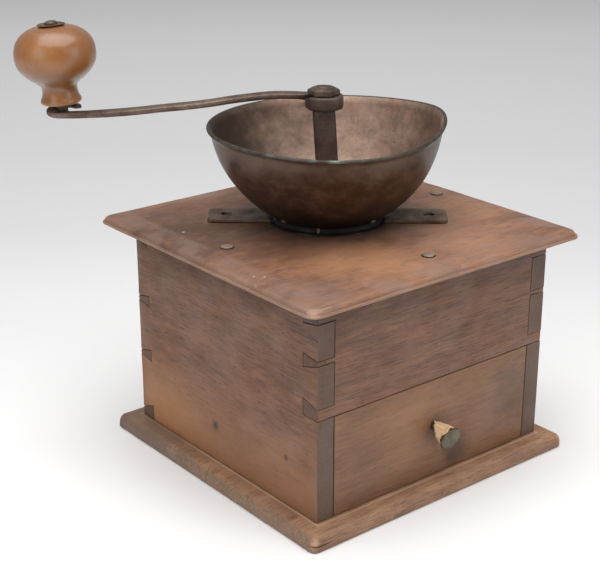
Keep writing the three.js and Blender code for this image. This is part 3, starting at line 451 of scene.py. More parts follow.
class Wood(Paint):
    """Planed wood with its grain along an axis: figure, fibres, pores and darker end grain."""

    def __init__(self, name, grain, dark, mid, light, end, pore=0.5, shift=0.0, streak=0.5, **shader):
        super().__init__(name, **shader)
        figure = self.noise(*along(grain, 55, 6), 4, 0.6, 0.5, shift)
        patch = self.noise(*along(grain, 34, 20), 4, 0.62, 0.3, shift + 3)
        tone = self.sum(self.both(figure, 0.4), self.both(patch, 0.6))
        self.colour = self.ramp(tone, (0.3, dark), (0.5, mid), (0.7, light))
        self.fibre = self.noise(*along(grain, 14, 0.75), 4, 0.72, 0.4, shift + 7)
        self.stain(self.band(self.fibre, 0.52, 0.34, 0, streak), dark, blend="MULTIPLY")
        self.stain(self.band(self.fibre, 0.52, 0.68, 0, streak * 0.4), light, blend="SCREEN")
        self.pores = self.band(self.noise(*along(grain, 5, 0.6), 1, 0.5, 0.0, shift + 11), 0.64, 0.74)
        self.stain(self.pores, "1c0f08", pore, "MULTIPLY")
        facing = self.size(self.axis(grain, self.normal))
        self.end = self.band(facing, 0.5, 0.8)
        rough_end = self.noise(1.6, 1.6, 1.6, 4, 0.65)
        end_tone = self.ramp(rough_end, (0.3, end[0]), (0.7, end[1]))
        self.colour = self.mix(self.both(self.end, 0.82), self.colour, end_tone)
        self.height = self.less(self.both(self.fibre, 0.6), self.pores)

    def finish(self, smooth=0.45, rough=0.7, strength=0.35, depth=0.25):
        worn = self.noise(22, 22, 22, 3, 0.6, 0.0, 21)
        roughness = self.band(worn, 0.35, 0.65, smooth, rough)
        return self.done(roughness, self.height, strength, depth)


# ---------------------------------------------------------------- wood materials

END_GRAIN = ("483629", "644d3f")


def case_board_material(name, grain, shift):
    """The case is brown, greyer and darker up under the top board, partly greyer wood and partly painted
    shade of the top board's overhang, and golden low on its sides.
    """
    wood = Wood(name, grain, "604133", "77533f", "87614a", END_GRAIN, 0.5, shift)
    height = wood.axis("Z")
    ragged = wood.both(wood.noise(*along(grain, 40, 14), 3), 34)
    low = wood.band(wood.sum(height, ragged), 84, 26)
    sides = wood.band(wood.size(wood.axis("X", wood.normal)), 0.4, 0.8)
    wood.stain(wood.both(low, sides, wood.less(1.0, wood.end), 0.6), "a0724e")
    # Greyer and darker up under the top board: partly greyer wood, partly painted shade of the overhang.
    overhang_shade_and_greying = wood.band(wood.sum(height, ragged), CASE_HIGH.z - 16, CASE_HIGH.z + 24)
    wood.stain(overhang_shade_and_greying, "7a6154", 0.85, "MULTIPLY")
    return wood


def side_material():
    wood = case_board_material("Side board wood", "Y", 0.0)
    left = CASE_LOW.x
    for y, z, size, code in ((7, 30, 4.2, "4e382b"), (-56, 36, 2.4, "513b2e")):
        wood.stain(wood.near(left, y, z, 0.6, size, 0.4, 2.2), code)
    wood.stain(wood.near(left, 62, 10, 14, 60, 0.4, 12), "b07a4a", 0.4)
    ends = wood.band(wood.size(wood.axis("Y")), 74, 82, 0, 0.3)
    wood.stain(ends, "6a584c")
    # An old scribed line near the front edge of the left side.
    waver = wood.both(wood.less(wood.noise(9, 9, 9), 0.5), 1.6)
    off_line = wood.size(wood.less(wood.sum(wood.axis("Z"), waver), 110.0))
    at_front = wood.band(wood.axis("Y"), -57.0, -62.0)
    on_left = wood.band(wood.axis("X"), left + 0.5, left + 0.1)
    scribe = wood.both(wood.band(off_line, 0.45, 0.15), at_front, on_left)
    wood.stain(scribe, "2c201a", 0.8)
    return wood.finish(0.5, 0.72)


def rail_material():
    wood = case_board_material("Front rail wood", "X", 5.0)
    return wood.finish(0.5, 0.7)


def drawer_front_material():
    wood = Wood("Drawer front wood", "X", "6e4f3b", "815d44", "8e684c", END_GRAIN, 0.3, 14.0, 0.3)
    front = DRAWER_LOW.y
    for x, z, inner, outer, amount in (
        (17, 19, 2, 15, 0.75), (3, 34, 2, 13, 0.6), (66, 40, 4, 30, 0.35), (-52, 20, 4, 24, 0.2),
    ):
        mask = wood.near(x, front, z, inner, outer, 0.45, 6)
        wood.stain(mask, "3f3028", amount)
    wood.stain(wood.near(-20, front, 48, 8, 34, 0.3, 16), "a87a55", 0.25)
    return wood.finish(0.45, 0.62, 0.2)


def drawer_inside_material():
    """Unfinished softwood, dusty with coffee at the bottom."""
    end = ("6a5643", "8c7458")
    wood = Wood("Drawer inside wood", "Y", "866a4b", "9c7b57", "ae8c65", end, 0.3, 31.0, 0.35)
    dust = wood.noise(18, 18, 18, 4, 0.65)
    wood.stain(wood.band(dust, 0.45, 0.7), "4a3524", 0.5)
    return wood.finish(0.7, 0.85)


def base_material():
    wood = Wood("Base board wood", "X", "80604b", "a47d60", "b98f6f", ("77604f", "a3876f"), 0.45, 40.0)
    across = wood.maths("MAXIMUM", wood.size(wood.axis("X")), wood.size(wood.axis("Y")))
    rim = wood.band(across, 89.5, 93, 0, 0.25)
    wood.stain(rim, "6b594d", blend="MULTIPLY")
    light = wood.band(wood.noise(12, 12, 12, 4, 0.65), 0.55, 0.7, 0, 0.35)
    wood.stain(light, "b8937a")
    # Dust has settled in a fine pale line along the foot of the case.
    beside = wood.both(wood.band(across, CASE_HIGH.x, CASE_HIGH.x + 0.5), wood.band(across, 84.4, 83.4))
    wood.stain(beside, "c9ab8e", 0.6)
    wood.stain(wood.near(BASE_LOW.x, 66, 4, 12, 60, 0.4, 12), "66554a", 0.6)
    # Pale patches at the two front corners: partly worn wood, partly painted highlight.
    for x, y in ((BASE_LOW.x, BASE_LOW.y), (BASE_HIGH.x, BASE_LOW.y)):
        wood.stain(wood.near(x, y, 6, 1, 6, 0.4, 3), "c39a7c")
    return wood.finish(0.5, 0.72)


def strap_outline_mask(wood, inner, outer):
    """1 on a line round the strap, between two distances from its edge."""
    c, s = math.cos(STRAP_TURN), math.sin(STRAP_TURN)
    centre = wood.node("VectorMath", "SUBTRACT", _0=wood.place, _1=(MILL.x, MILL.y, 0))
    length = wood.size(wood.node("VectorMath", "DOT_PRODUCT", 1, _0=centre, _1=(c, s, 0)))
    width = wood.size(wood.node("VectorMath", "DOT_PRODUCT", 1, _0=centre, _1=(-s, c, 0)))
    past = wood.maths("MAXIMUM", wood.less(length, STRAP_LENGTH / 2),
                      wood.less(width, STRAP_WIDTH / 2))
    return wood.both(wood.band(past, inner, inner + 0.4), wood.band(past, outer, outer - 0.4))


def top_material():
    """Orange brown at the front, partly rubbed polish and partly painted highlight, painted shade of the
    bowl round the mill, and greyish along the bevels.
    """
    wood = Wood("Top board wood", "X", "694736", "8a624c", "a87c60", ("6b5342", "8d6c54"), 0.25, 60.0)
    surface = TOP_HIGH.z
    # The first three patches, pale orange at the front and right front, are partly rubbed polish and partly
    # painted highlight.
    for x, y, inner, outer, amount, code in (
        (-30, -58, 6, 52, 0.7, "bd8b68"), (30, -70, 4, 44, 0.5, "b4866a"), (70, -30, 4, 34, 0.4, "b38562"),
        (-88, 30, 10, 70, 0.85, "593f32"), (-60, -20, 4, 30, 0.45, "6a4c3c"),
        (60, 70, 8, 60, 0.4, "6d5546"), (-86, -80, 4, 30, 0.55, "8c7266"),
        (TOP_HIGH.x - 14, -62, 2, 18, 0.4, "6d5648"),
    ):
        wood.stain(wood.near(x, y, surface, inner, outer, 0.35, 16), code, amount)
    # Orange where the polish has worn thin, with dark grime in small blots between.
    blot = wood.noise(11, 8, 8, 5, 0.68, 0.3, 5.0)
    wood.stain(wood.band(blot, 0.5, 0.64, 0, 0.3), "a36e4a")
    wood.stain(wood.band(blot, 0.46, 0.36, 0, 0.3), "644a3a")
    # Darker round the mill: painted shade of the overhanging bowl.
    around = wood.near(MILL.x, MILL.y, surface, 30, 66, 0.25, 14)
    wood.stain(around, "4c3a31", 0.7)
    # A bevelled border that has lost its polish.
    across = wood.maths("MAXIMUM", wood.size(wood.less(wood.axis("X"), TOP_CENTRE.x)),
                        wood.size(wood.less(wood.axis("Y"), TOP_CENTRE.y)))
    border = wood.both(wood.band(across, 79.5, 83), wood.band(wood.noise(20, 20, 20, 4), 0.38, 0.58), 0.5)
    wood.stain(border, "8d7164")
    wood.stain(strap_outline_mask(wood, 0.0, 1.5), "8d7a6e", 0.4)
    # A dark ring round each nail head: painted shade in the recess it sits in.
    for side in ("left", "front", "right", "back"):
        nail = middle(f"top_nail_{side}")
        wood.stain(wood.near(nail.x, nail.y, surface, NAIL_HEAD, NAIL_HEAD + 0.9, 0.02), "2e1f17")
    # A paler line along the lip under the moulding: painted highlight.
    edge = wood.band(wood.axis("Z"), TOP_LOW.z + 1.9, TOP_LOW.z + 1.5)
    wood.stain(edge, "9a785f", 0.4)
    # Pale patches at three corners of the top: partly worn wood, partly painted highlight.
    for x, y in ((TOP_LOW.x, TOP_LOW.y), (TOP_LOW.x, TOP_HIGH.y), (TOP_HIGH.x, TOP_LOW.y)):
        at = (x + math.copysign(2.4, -x), y + math.copysign(2.4, -y), surface - 1.5)
        wood.stain(wood.near(*at, 0.5, 4.5, 0.5, 2.5), "c79c80", 0.6)
    for x, y, size in ((-92, -42.5, 1.3), (-88.5, -47, 0.9), (-81, 35, 1.4)):
        wood.stain(wood.near(x, y, surface, size * 0.3, size, 0.4, 1.5), "cfaa8e")
    worn_most = wood.band(wood.noise(30, 30, 30), 0.5, 0.6)
    nicks = wood.both(wood.band(wood.specks(17, 4.0), 0.05, 0.03), worn_most)
    wood.stain(nicks, "d8b598")
    return wood.finish(0.36, 0.58, 0.3)


def knob_material():
    wood = Wood("Knob wood", "Z", "794719", "8d541a", "9d6520", ("784618", "93591f"), 0.1, 80.0, 0.15,
                Coat_Weight=1.0, Coat_Roughness=0.27)
    height = wood.axis("Z")
    # Darker round the neck, under the bulb: painted shade.
    under = wood.band(height, KNOB_LOW + 27, KNOB_LOW + 14)
    neck_shade = wood.both(under, wood.band(height, KNOB_LOW + 5, KNOB_LOW + 10))
    wood.stain(neck_shade, "5e3815", 0.6)
    return wood.finish(0.4, 0.5, 0.05)


# ---------------------------------------------------------------- metal materials

def iron(name, dark, mid, light, metallic=0.55, smooth=0.4, rough=0.62, pit=0.5, shift=0.0, eye_shade=0.0):
    """Wrought iron with a brown skin, mottled and pitted, and with painted shade by the crank's eye as
    strong as the last argument says.
    """
    paint = Paint(name, Metallic=metallic)
    broad = paint.noise(13, 13, 13, 4, 0.6, 0.4, shift)
    paint.colour = paint.ramp(broad, (0.3, dark), (0.5, mid), (0.72, light))
    grain = paint.noise(1.1, 1.1, 1.1, 3, 0.65, 0, shift + 3)
    paint.stain(paint.band(grain, 0.5, 0.68, 0, pit), dark)
    # Painted shade on the bar by the crank's eye.
    if eye_shade:
        paint.stain(paint.near(*mill_point(0, 0, EYE_LOW), 12, 46, 0.2, 8), dark, eye_shade)
    return paint.done(paint.band(broad, 0.3, 0.7, rough, smooth), grain, 0.4, 0.25)


def copper_outside():
    """Brown patina, greyer towards the rim and almost black at the foot; the darkening low down is partly
    patina and partly painted shade.
    """
    paint = Paint("Copper outside", Metallic=0.75)
    cloud = paint.noise(13, 13, 10, 6, 0.72, 0.2)
    paint.colour = paint.ramp(cloud, (0.3, "3d2d24"), (0.5, "533d31"), (0.7, "6d5545"))
    height = paint.sum(paint.axis("Z"), paint.both(paint.noise(14, 14, 10, 4), 18))
    paint.stain(paint.band(height, 180, 200, 0, 0.6), "675a50")
    # Darker low on the bowl: partly patina, partly painted shade.
    paint.stain(paint.band(height, 168, 148, 0, 0.75), "342b26")
    paint.stain(paint.band(paint.specks(7, 2.0), 0.16, 0.06, 0, 0.5), "3a2c24")
    fine = paint.noise(1.5, 1.5, 1.5, 3, 0.6)
    return paint.done(paint.band(cloud, 0.3, 0.7, 0.32, 0.48), fine, 0.12, 0.2)


def copper_inside():
    """Paler and pinker where the beans have rubbed, with dark and green freckles, and painted shade on the
    inner wall at the back left and front right.
    """
    paint = Paint("Copper inside", Metallic=0.4)
    cloud = paint.noise(12, 12, 12, 6, 0.74, 0.2, 5.0)
    paint.colour = paint.ramp(cloud, (0.3, "6f5b4d"), (0.5, "987d6c"), (0.7, "b89b88"))
    freckles = paint.noise(1.9, 1.9, 1.9, 3, 0.7, 0, 9.0)
    paint.stain(paint.band(freckles, 0.6, 0.72, 0, 0.5), "5c4b40")
    green = paint.noise(7, 7, 7, 3, 0.6, 0, 13.0)
    paint.stain(paint.band(green, 0.6, 0.72), "76796b", 0.4)
    rosy = paint.noise(9, 9, 9, 3, 0.6, 0, 17.0)
    paint.stain(paint.band(rosy, 0.52, 0.7), "a87a68", 0.35)
    # Two dark patches on the inner wall, at the back left and the front right: painted shade.
    for azimuth, reach, amount in ((128, 84, 0.95), (335, 36, 0.5)):
        wall = about_mill(math.radians(azimuth))(BOWL_RADIUS, 0, BOWL_RIM - 14)
        paint.stain(paint.near(*wall, 12, reach, 0.25, 9), "3b2f27", amount)
    fine = paint.noise(1.8, 1.8, 1.8, 3, 0.6)
    return paint.done(paint.band(cloud, 0.3, 0.7, 0.45, 0.6), fine, 0.2, 0.25)


def copper_rim():
    """A dark olive bead with a little green, most of it at the front."""
    paint = Paint("Copper rim", Metallic=0.5)
    cloud = paint.noise(5, 5, 5, 4, 0.65)
    paint.colour = paint.ramp(cloud, (0.35, "352e26"), (0.5, "463f35"), (0.68, "59534a"))
    paint.stain(paint.band(paint.noise(8, 8, 8, 2, 0.5, 0, 3.0), 0.68, 0.76, 0, 0.4), "66786a")
    front = about_mill(math.radians(233))(BOWL_RADIUS, 0, BOWL_RIM - 2)
    paint.stain(paint.near(*front, 1, 5, 0.4, 3), "7d9486", 0.8)
    return paint.done(paint.band(cloud, 0.3, 0.7, 0.4, 0.6), cloud, 0.2, 0.3)


def tarnished_brass():
    paint = Paint("Tarnished brass", Metallic=0.5)
    cloud = paint.noise(4, 4, 4, 4, 0.6, 0.5)
    paint.colour = paint.ramp(cloud, (0.3, "504a3b"), (0.5, "655d4d"), (0.7, "776e5c"))
    paint.stain(paint.band(paint.noise(2.6, 2.6, 2.6, 2, 0.5, 0, 6.0), 0.55, 0.68, 0, 0.5), "66705a")
    return paint.done(paint.band(cloud, 0.3, 0.7, 0.36, 0.52), cloud, 0.15, 0.2)


def packing_material():
    """A dry folded leaf of packing, pale tan with fine ribs and a yellow-green tinge below."""
    paint = Paint("Leaf packing", Subsurface_Weight=0.1)
    ribs = paint.noise(0.9, 6, 0.9, 3, 0.6)
    paint.colour = paint.ramp(ribs, (0.3, "d3a871"), (0.5, "f3cb9e"), (0.72, "fce0bc"))
    low = paint.band(paint.axis("Z"), DRAWER_KNOB_Z - 2, DRAWER_KNOB_Z - 8, 0, 0.6)
    paint.stain(low, "b9a872")
    return paint.done(0.8, ribs, 0.5, 0.3)


# ---------------------------------------------------------------- boards with moulded edges

def rounded_ring(low, high, inset, corner, height, side_points=60, corner_points=9):
    """Points round a rectangle with round corners, evenly spaced along each side."""
    radius = max(corner - inset, 0.6)
    x0, x1, y0, y1 = low.x + inset, high.x - inset, low.y + inset, high.y - inset
    centres = (
        (x1 - radius, y1 - radius, 0), (x0 + radius, y1 - radius, 90),
        (x0 + radius, y0 + radius, 180), (x1 - radius, y0 + radius, 270))
    rounds = [
        [Vector((*p, height)) for p in arc(x, y, radius, start, start + 90, corner_points - 1)]
        for x, y, start in centres]
    ring = []
    for this, following in zip(rounds, [*rounds[1:], rounds[0]]):
        ring += this
        ring += [this[-1].lerp(following[0], i / side_points) for i in range(1, side_points)]
    return ring


def rubbed_in(point, low, high, pull):
    """A point drawn by pull towards the middle of a box."""
    centre = (low + high) / 2
    return point + Vector((
        math.copysign(pull, centre.x - point.x), math.copysign(pull, centre.y - point.y), 0))


def to_edge(point, low, high):
    return min(point.x - low.x, high.x - point.x, point.y - low.y, high.y - point.y)


def dent(point, centre, reach, push):
    """A point pushed by push where it is nearest centre, reach giving the dent's size along each axis."""
    away = math.sqrt(sum(((point[i] - centre[i]) / reach[i]) ** 2 for i in range(3)))
    if away >= 1:
        return point
    return point + Vector(push) * (1 - away * away) ** 2


TOP_DENTS = (
    ((-0.5, -98, 135), (5, 5, 4), (0, 1.6, -0.7)),
    ((2.5, -91, 137), (2.6, 5, 3), (0, 0, -0.5)),
    ((-46, -98.8, 133), (6, 3, 3), (0, 0.8, 0)),
    ((58, -98.8, 134), (9, 4, 3), (0, 0.7, -0.2)),
    ((-100, -30, 134), (4, 7, 3), (0.8, 0, -0.2)),
    ((-100, 42, 133), (4, 11, 3), (0.6, 0, 0)),
    ((92, 20, 134), (4, 10, 3), (-0.8, 0, -0.2)),
    ((30, 92, 134), (12, 4, 3), (0, -0.7, 0)),
    ((-98, -97, 135), (8, 8, 4), (0.9, 0.9, -0.5)),
    ((91, -97, 135), (6, 6, 4), (-0.7, 0.7, -0.3)),
)


def top_board():
    """Lip, quirk, quarter round and a long shallow bevel up to the flat, with a round throat."""
    low, high = TOP_LOW, TOP_HIGH
    rise = high.z - low.z
    bevel_end = 17
    profile = [(0.8, 0), (0.25, 0.12), (0.0, 0.5), (0.0, 1.1), (0.25, 1.4), (0.9, 1.5), (1.0, 1.9)]
    profile += [(1.0 + 3.0 * (1 - c), 2.0 + 2.1 * s) for c, s in arc(0, 0, 1, 0, 90, 8)]
    profile += [
        (blend_between(4.0, bevel_end, i / 8), blend_between(4.1, rise, i / 8)) for i in range(1, 9)]
    profile.append((bevel_end + 1.2, rise))
    rings = [rounded_ring(low, high, inset, 7, low.z + height) for inset, height in profile]
    inner = rings[-1]
    angles = [math.atan2(p.y - MILL.y, p.x - MILL.x) for p in inner]

    def throat(height):
        return [
            Vector((MILL.x + THROAT_RADIUS * math.cos(a), MILL.y + THROAT_RADIUS * math.sin(a), height))
            for a in angles]

    rim = throat(high.z)
    for i in range(1, 17):
        rings.append([a.lerp(b, i / 16) for a, b in zip(inner, rim)])
    rings.append(throat(low.z))
    points, faces = skin(rings, loop=True)
    worn = []
    for p in points:
        edge = to_edge(p, low, high)
        near_edge = 1 - fade(edge, 1, 6)
        pull = near_edge * 0.3 * (1 + wobble(p, 19, 2) + 0.7 * wobble(p, 5, 3))
        p = rubbed_in(p, low, high, pull)
        if p.z > low.z + 1.9:
            hollow = fade(edge, 8, 24) * fade((p.xy - MILL.xy).length, 40, 60)
            p.z -= 0.16 * (1 + wobble(p, 46, 5)) * max(near_edge, hollow)
        for each in TOP_DENTS:
            p = dent(p, *each)
        worn.append(p)
    return worn, faces


BASE_DENTS = (
    ((-93, -93.7, 3.4), (15, 6, 0.7), (0, 2.0, 0)),
    ((-94.7, -90, 3.6), (4, 8, 0.7), (1.6, 0, 0)),
    ((-94, -93, 8), (5, 5, 3), (1.0, 1.0, -1.0)),
    ((94, -93, 8), (4, 4, 3), (-0.8, 0.8, -0.8)),
    ((-94.7, 20, 7), (4, 9, 3), (0.8, 0, -0.4)),
    ((-94.7, -55, 7), (4, 6, 3), (0.7, 0, -0.5)),
    ((-94.7, 60, 6), (4, 14, 3), (0.5, 0, -0.3)),
    ((-30, -93.7, 7), (9, 4, 3), (0, 0.6, -0.4)),
    ((40, -93.7, 7), (14, 4, 3), (0, 0.6, -0.3)),
    ((94.7, 12, 7), (4, 13, 3), (-0.7, 0, -0.4)),
    ((10, 93.7, 7), (13, 4, 3), (0, -0.6, -0.4)),
)


def base_board(front):
    """Half of the base, cut from the whole along the glued joint."""
    low, high = BASE_LOW, BASE_HIGH
    rise = high.z - low.z
    profile = [(4, 0), (1.2, 0), (0.4, 0.4), (0.05, 1.2)]
    profile += [(0, 1.6 + 0.2 * i) for i in range(9)]
    profile += [
        (EDGE_ROUND * (1 - c), rise - EDGE_ROUND * (1 - s)) for c, s in arc(0, 0, 1, 0, 90, 9)[1:]]
    profile += [(6.5, rise), (9, rise), (12, rise), (20, rise)]
    rings = [rounded_ring(low, high, inset, 4, low.z + height, 80) for inset, height in profile]
    points, faces = skin(rings)
    worn = []
    for p in points:
        edge = to_edge(p, low, high)
        exposed = (1 - fade(edge, 1, 7)) * fade(p.z, 0.3, 2)
        pull = exposed * 0.3 * (1 + wobble(p, 23, 7) + 0.7 * wobble(p, 6, 8))
        p = rubbed_in(p, low, high, pull)
        for each in BASE_DENTS:
            p = dent(p, *each)
        worn.append(p)
    shape = bmesh.new()
    made = [shape.verts.new(p) for p in worn]
    for face in faces:
        shape.faces.new([made[i] for i in face])
    side = -1 if front else 1
    bmesh.ops.bisect_plane(
        shape, geom=[*shape.verts, *shape.edges, *shape.faces], dist=1e-4,
        plane_co=(0, BASE_JOINT_Y + side * GAP / 2, 0), plane_no=(0, -side, 0), clear_outer=True)
    bmesh.ops.holes_fill(shape, edges=[edge for edge in shape.edges if edge.is_boundary])
    shape.verts.index_update()
    kept = [v.co.copy() for v in shape.verts]
    kept_faces = [tuple(v.index for v in face.verts) for face in shape.faces]
    shape.free()
    return kept, kept_faces


# ---------------------------------------------------------------- bowl and what holds it

def lobe(angle, centre):
    """A soft rise about an angle in degrees."""
    return max(0, math.cos(angle - math.radians(centre))) ** 6


def knocked(point):
    """A point of the bowl, about its axis, with the wall out of round and the rim out of level."""
    x, y, z = point
    angle = math.atan2(y, x)
    floor = STRAP_HIGH + GAP
    share = max(0, (z - floor) / (BOWL_RIM - floor)) ** 2
    out = share * (0.5 * math.cos(2 * angle) + 1.2 * math.sin(2 * angle) + math.sin(3 * angle))
    wave = (0.8 * math.cos(angle) + 0.3 * math.sin(angle) - 0.9 * math.sin(2 * angle)
            - 0.7 * math.cos(3 * angle) - 0.4 * math.sin(3 * angle)
            + 1.9 * lobe(angle, 12) + lobe(angle, 130) + 3.6 * lobe(angle, -32))
    hammered = 0.12 * wobble(point, 11, 4) + 0.04 * wobble(point, 4, 6)
    stretch = 1 + (out + hammered) / max(math.hypot(x, y), 1)
    return Vector((x * stretch, y * stretch, z + share * wave))


def bowl_outside(radius):
    """Height of the bowl's outer surface at a distance from its axis."""
    return BOWL_CENTRE - math.sqrt(BOWL_RADIUS ** 2 - radius ** 2)


def hopper_bowl(outside, inside, rim):
    floor = STRAP_HIGH + GAP
    throat = THROAT_RADIUS + 1

    def wall(radius, start, end):
        a, b = (math.degrees(math.asin((height - BOWL_CENTRE) / radius)) for height in (start, end))
        return arc(0, BOWL_CENTRE, radius, a, b, 44)

    outer = [(throat, floor), *wall(BOWL_RADIUS, floor, BOWL_RIM - 4.5), (64.85, BOWL_RIM - 2.2)]
    bead = arc(BEAD_OUT, BOWL_RIM - BEAD_RADIUS, BEAD_RADIUS, -115, 145, 10)
    inner_radius = BOWL_RADIUS - BOWL_WALL
    inner = [*wall(inner_radius, BOWL_RIM - 2.8, floor + BOWL_WALL), (throat, floor + BOWL_WALL)]
    points, faces = turned([*outer, *bead, *inner], 144, loop=True)
    points = [mill_point(*knocked(point)) for point in points]
    obj = piece("hopper_bowl_beaded", (points, faces), outside, "case", ("hopper_bowl",), 50)
    obj.data.materials.append(inside)
    obj.data.materials.append(rim)
    bead_foot = BOWL_RIM - 1.5
    bowl_middle = mill_point(0, 0, BOWL_CENTRE)
    for face in obj.data.polygons:
        at = face.center / MM
        facing_in = face.normal.dot(at - bowl_middle) < 0
        high = at.z > bead_foot + knocked_wave(at)
        face.material_index = 2 if high else (1 if facing_in else 0)


def knocked_wave(point):
    """How far the rim is out of level below a point."""
    level = Vector((point.x - MILL.x, point.y - MILL.y, BOWL_RIM))
    return knocked(level).z - BOWL_RIM


def bowl_rivets(material):
    for i, azimuth in enumerate(RIVET_AZIMUTHS):
        tilt = math.asin(RIVET_RADIUS / BOWL_RADIUS)
        around = Matrix.Rotation(math.radians(azimuth), 3, "Z")
        turn = around @ Matrix.Rotation(math.pi - tilt, 3, "Y")
        foot = around @ Vector((RIVET_RADIUS, 0, bowl_outside(RIVET_RADIUS)))
        profile = [
            (0.0, -1.7), (0.9, -1.7), (0.9, 0.2), (1.65, 0.2), (1.7, 0.45), (1.4, 0.8), (0.8, 1.03),
            (0, 1.1)]
        part = moved(turned(profile, 20), lambda x, y, z: mill_point(*(turn @ Vector((x, y, z)) + foot)))
        piece(f"bowl_rivet_head_{i + 1}", part, material, "case", (f"bowl_rivet_{i + 1}",))


def foot_ring(material):
    """A rolled strip of sheet iron with its foot turned out, lifted over the strap."""
    count = 240
    low, lifted = STRAP_LOW, STRAP_HIGH + GAP + 0.1
    rings = []
    inner = RING_RADIUS - 2
    tall = bowl_outside(RING_RADIUS) - GAP
    flange = [(-0.4, 0.0), (-0.05, 0.04), (-0.1, 0.11), (-0.7, 0.16)]
    wall = [
        (0.4, 0.19), (-0.1, 0.24), (-0.45, 0.32), (-0.5, 0.6), (-0.45, 0.82), (-0.15, 0.88), (-0.05, 0.93),
        (-0.3, 0.99), (-1.0, 1.0)]
    shape = [
        (inner, 0.0), (RING_RADIUS, 0.0), *((FLANGE_RADIUS + out, share) for out, share in flange),
        *((RING_RADIUS + out, share) for out, share in wall), (inner, 1.0)]
    for radius, part in shape:
        ring = []
        for i in range(count):
            angle = 2 * math.pi * i / count
            x, y = radius * math.cos(angle), radius * math.sin(angle)
            over_strap = 1 - fade(abs(y), STRAP_WIDTH / 2 + 0.35, STRAP_WIDTH / 2 + 1)
            foot = blend_between(low, lifted, over_strap)
            top = bowl_outside(radius) - GAP if part == 1.0 else tall
            ring.append(Vector((x, y, blend_between(foot, min(top, tall), part))))
        rings.append(ring)
    part = moved(skin(rings, loop=True), strap_point)
    piece("foot_ring_rolled", part, material, "case", ("foot_ring",), 40)


def seam_strip(material):
    """The lapped end of the foot ring's strip, as a narrow upright fold."""
    azimuth = math.radians(221)
    rows = []
    for height in (STRAP_LOW + 0.6, STRAP_LOW + 0.9, STRAP_LOW + 2, STRAP_LOW + 3.2, STRAP_LOW + 3.7):
        row = []
        for i in range(8):
            t = i / 7
            turn = azimuth + (t - 0.5) * 0.05
            out = RING_RADIUS - 0.5 + 0.45 * math.sin(math.pi * t)
            row.append(mill_point(out * math.cos(turn), out * math.sin(turn), height))
        back = [mill_point((p.x - MILL.x) * 0.975, (p.y - MILL.y) * 0.975, p.z) for p in reversed(row)]
        rows.append(row + back)
    piece("foot_ring_seam", skin(rows), material, "case")


def strap_plate(material):
    """A flat bar with round corners and a hole near each end."""
    half, side, corner = STRAP_LENGTH / 2, STRAP_WIDTH / 2, STRAP_CORNER
    outline = bpy.data.curves.new("strap_outline", "CURVE")
    outline.dimensions = "2D"
    outline.fill_mode = "BOTH"

    def loop(points):
        spline = outline.splines.new("POLY")
        spline.points.add(len(points) - 1)
        for target, (x, y) in zip(spline.points, points):
            target.co = (x * MM, y * MM, 0, 1)
        spline.use_cyclic_u = True

    edge = []
    for cx, cy, start in ((1, 1, 0), (-1, 1, 90), (-1, -1, 180), (1, -1, 270)):
        edge += arc(cx * (half - corner), cy * (side - corner), corner, start, start + 90, 8)
        if cy == cx:
            edge += [(edge[-1][0] * (1 - t / 20) - edge[-1][0] * t / 20, edge[-1][1]) for t in range(1, 20)]
    loop(edge)
    for at, radius in ((0, STRAP_CENTRE_HOLE), *((at, STRAP_HOLE) for at in STRAP_NAILS)):
        loop(arc(at, 0, radius, 0, 345, 23))
    thickness = STRAP_HIGH - STRAP_LOW
    outline.bevel_depth = 0.35 * MM
    outline.bevel_resolution = 2
    outline.offset = -0.35 * MM
    outline.extrude = (thickness / 2 - 0.35) * MM
    holder = bpy.data.objects.new("strap_outline", outline)
    bpy.context.scene.collection.objects.link(holder)
    evaluated = holder.evaluated_get(bpy.context.evaluated_depsgraph_get())
    mesh = bpy.data.meshes.new_from_object(evaluated)
    bpy.data.objects.remove(holder)
    mid = (STRAP_LOW + STRAP_HIGH) / 2
    points = [strap_point(v.co.x / MM, v.co.y / MM, mid + v.co.z / MM) for v in mesh.vertices]
    faces = [tuple(p.vertices) for p in mesh.polygons]
    bpy.data.meshes.remove(mesh)
    piece("mounting_strap_bar", (points, faces), material, "case", ("mounting_strap",), 30)


# ---------------------------------------------------------------- nails

def forged_head(radius, height, seed, sink=3.0):
    """A hammered nail head on a short shank, its underside at height zero."""
    count = 28
    profile = [
        (radius * 0.42, -sink), (radius * 0.42, 0.0), (radius * 0.9, 0.0), (radius, height * 0.25),
        (radius * 0.97, height * 0.55), (radius * 0.82, height * 0.85), (radius * 0.5, height * 0.98),
        (radius * 0.2, height)]
    rings = []
    for r, z in profile:
        ring = []
        for p in circle(r, z, count):
            out = 1 + 0.07 * wobble((p.x, p.y, 0), radius * 0.9, seed) if z >= 0 else 1
            dip = 0.12 * height * wobble((p.x, p.y, 5), radius * 0.6, seed + 3) if z > 0 else 0
            ring.append(Vector((p.x * out * 0.97, p.y * out * 0.97, z + min(dip, 0))))
        rings.append(ring)
    return skin(rings)


def nails(material, dark):
    for i, side in enumerate(("left", "front", "right", "back")):
        at = middle(f"top_nail_{side}")
        height = corners(f"top_nail_{side}")[1].z - (TOP_HIGH.z + GAP)
        foot = Vector((at.x, at.y, TOP_HIGH.z + GAP - 0.25))
        part = moved(forged_head(NAIL_HEAD, height, i), lambda u, v, w: foot + Vector((u, v, w)))
        piece(f"top_nail_head_{side}", part, material, "case", (f"top_nail_{side}",))
    for i in (1, 2):
        at = middle(f"strap_nail_{i}")
        foot = Vector((at.x, at.y, STRAP_LOW + 0.15))
        part = moved(forged_head(STRAP_NAIL_HEAD, 0.7, 7 + i, 6), lambda u, v, w: foot + Vector((u, v, w)))
        piece(f"strap_nail_head_{i}", part, dark, "case", (f"strap_nail_{i}",))


# ---------------------------------------------------------------- crank

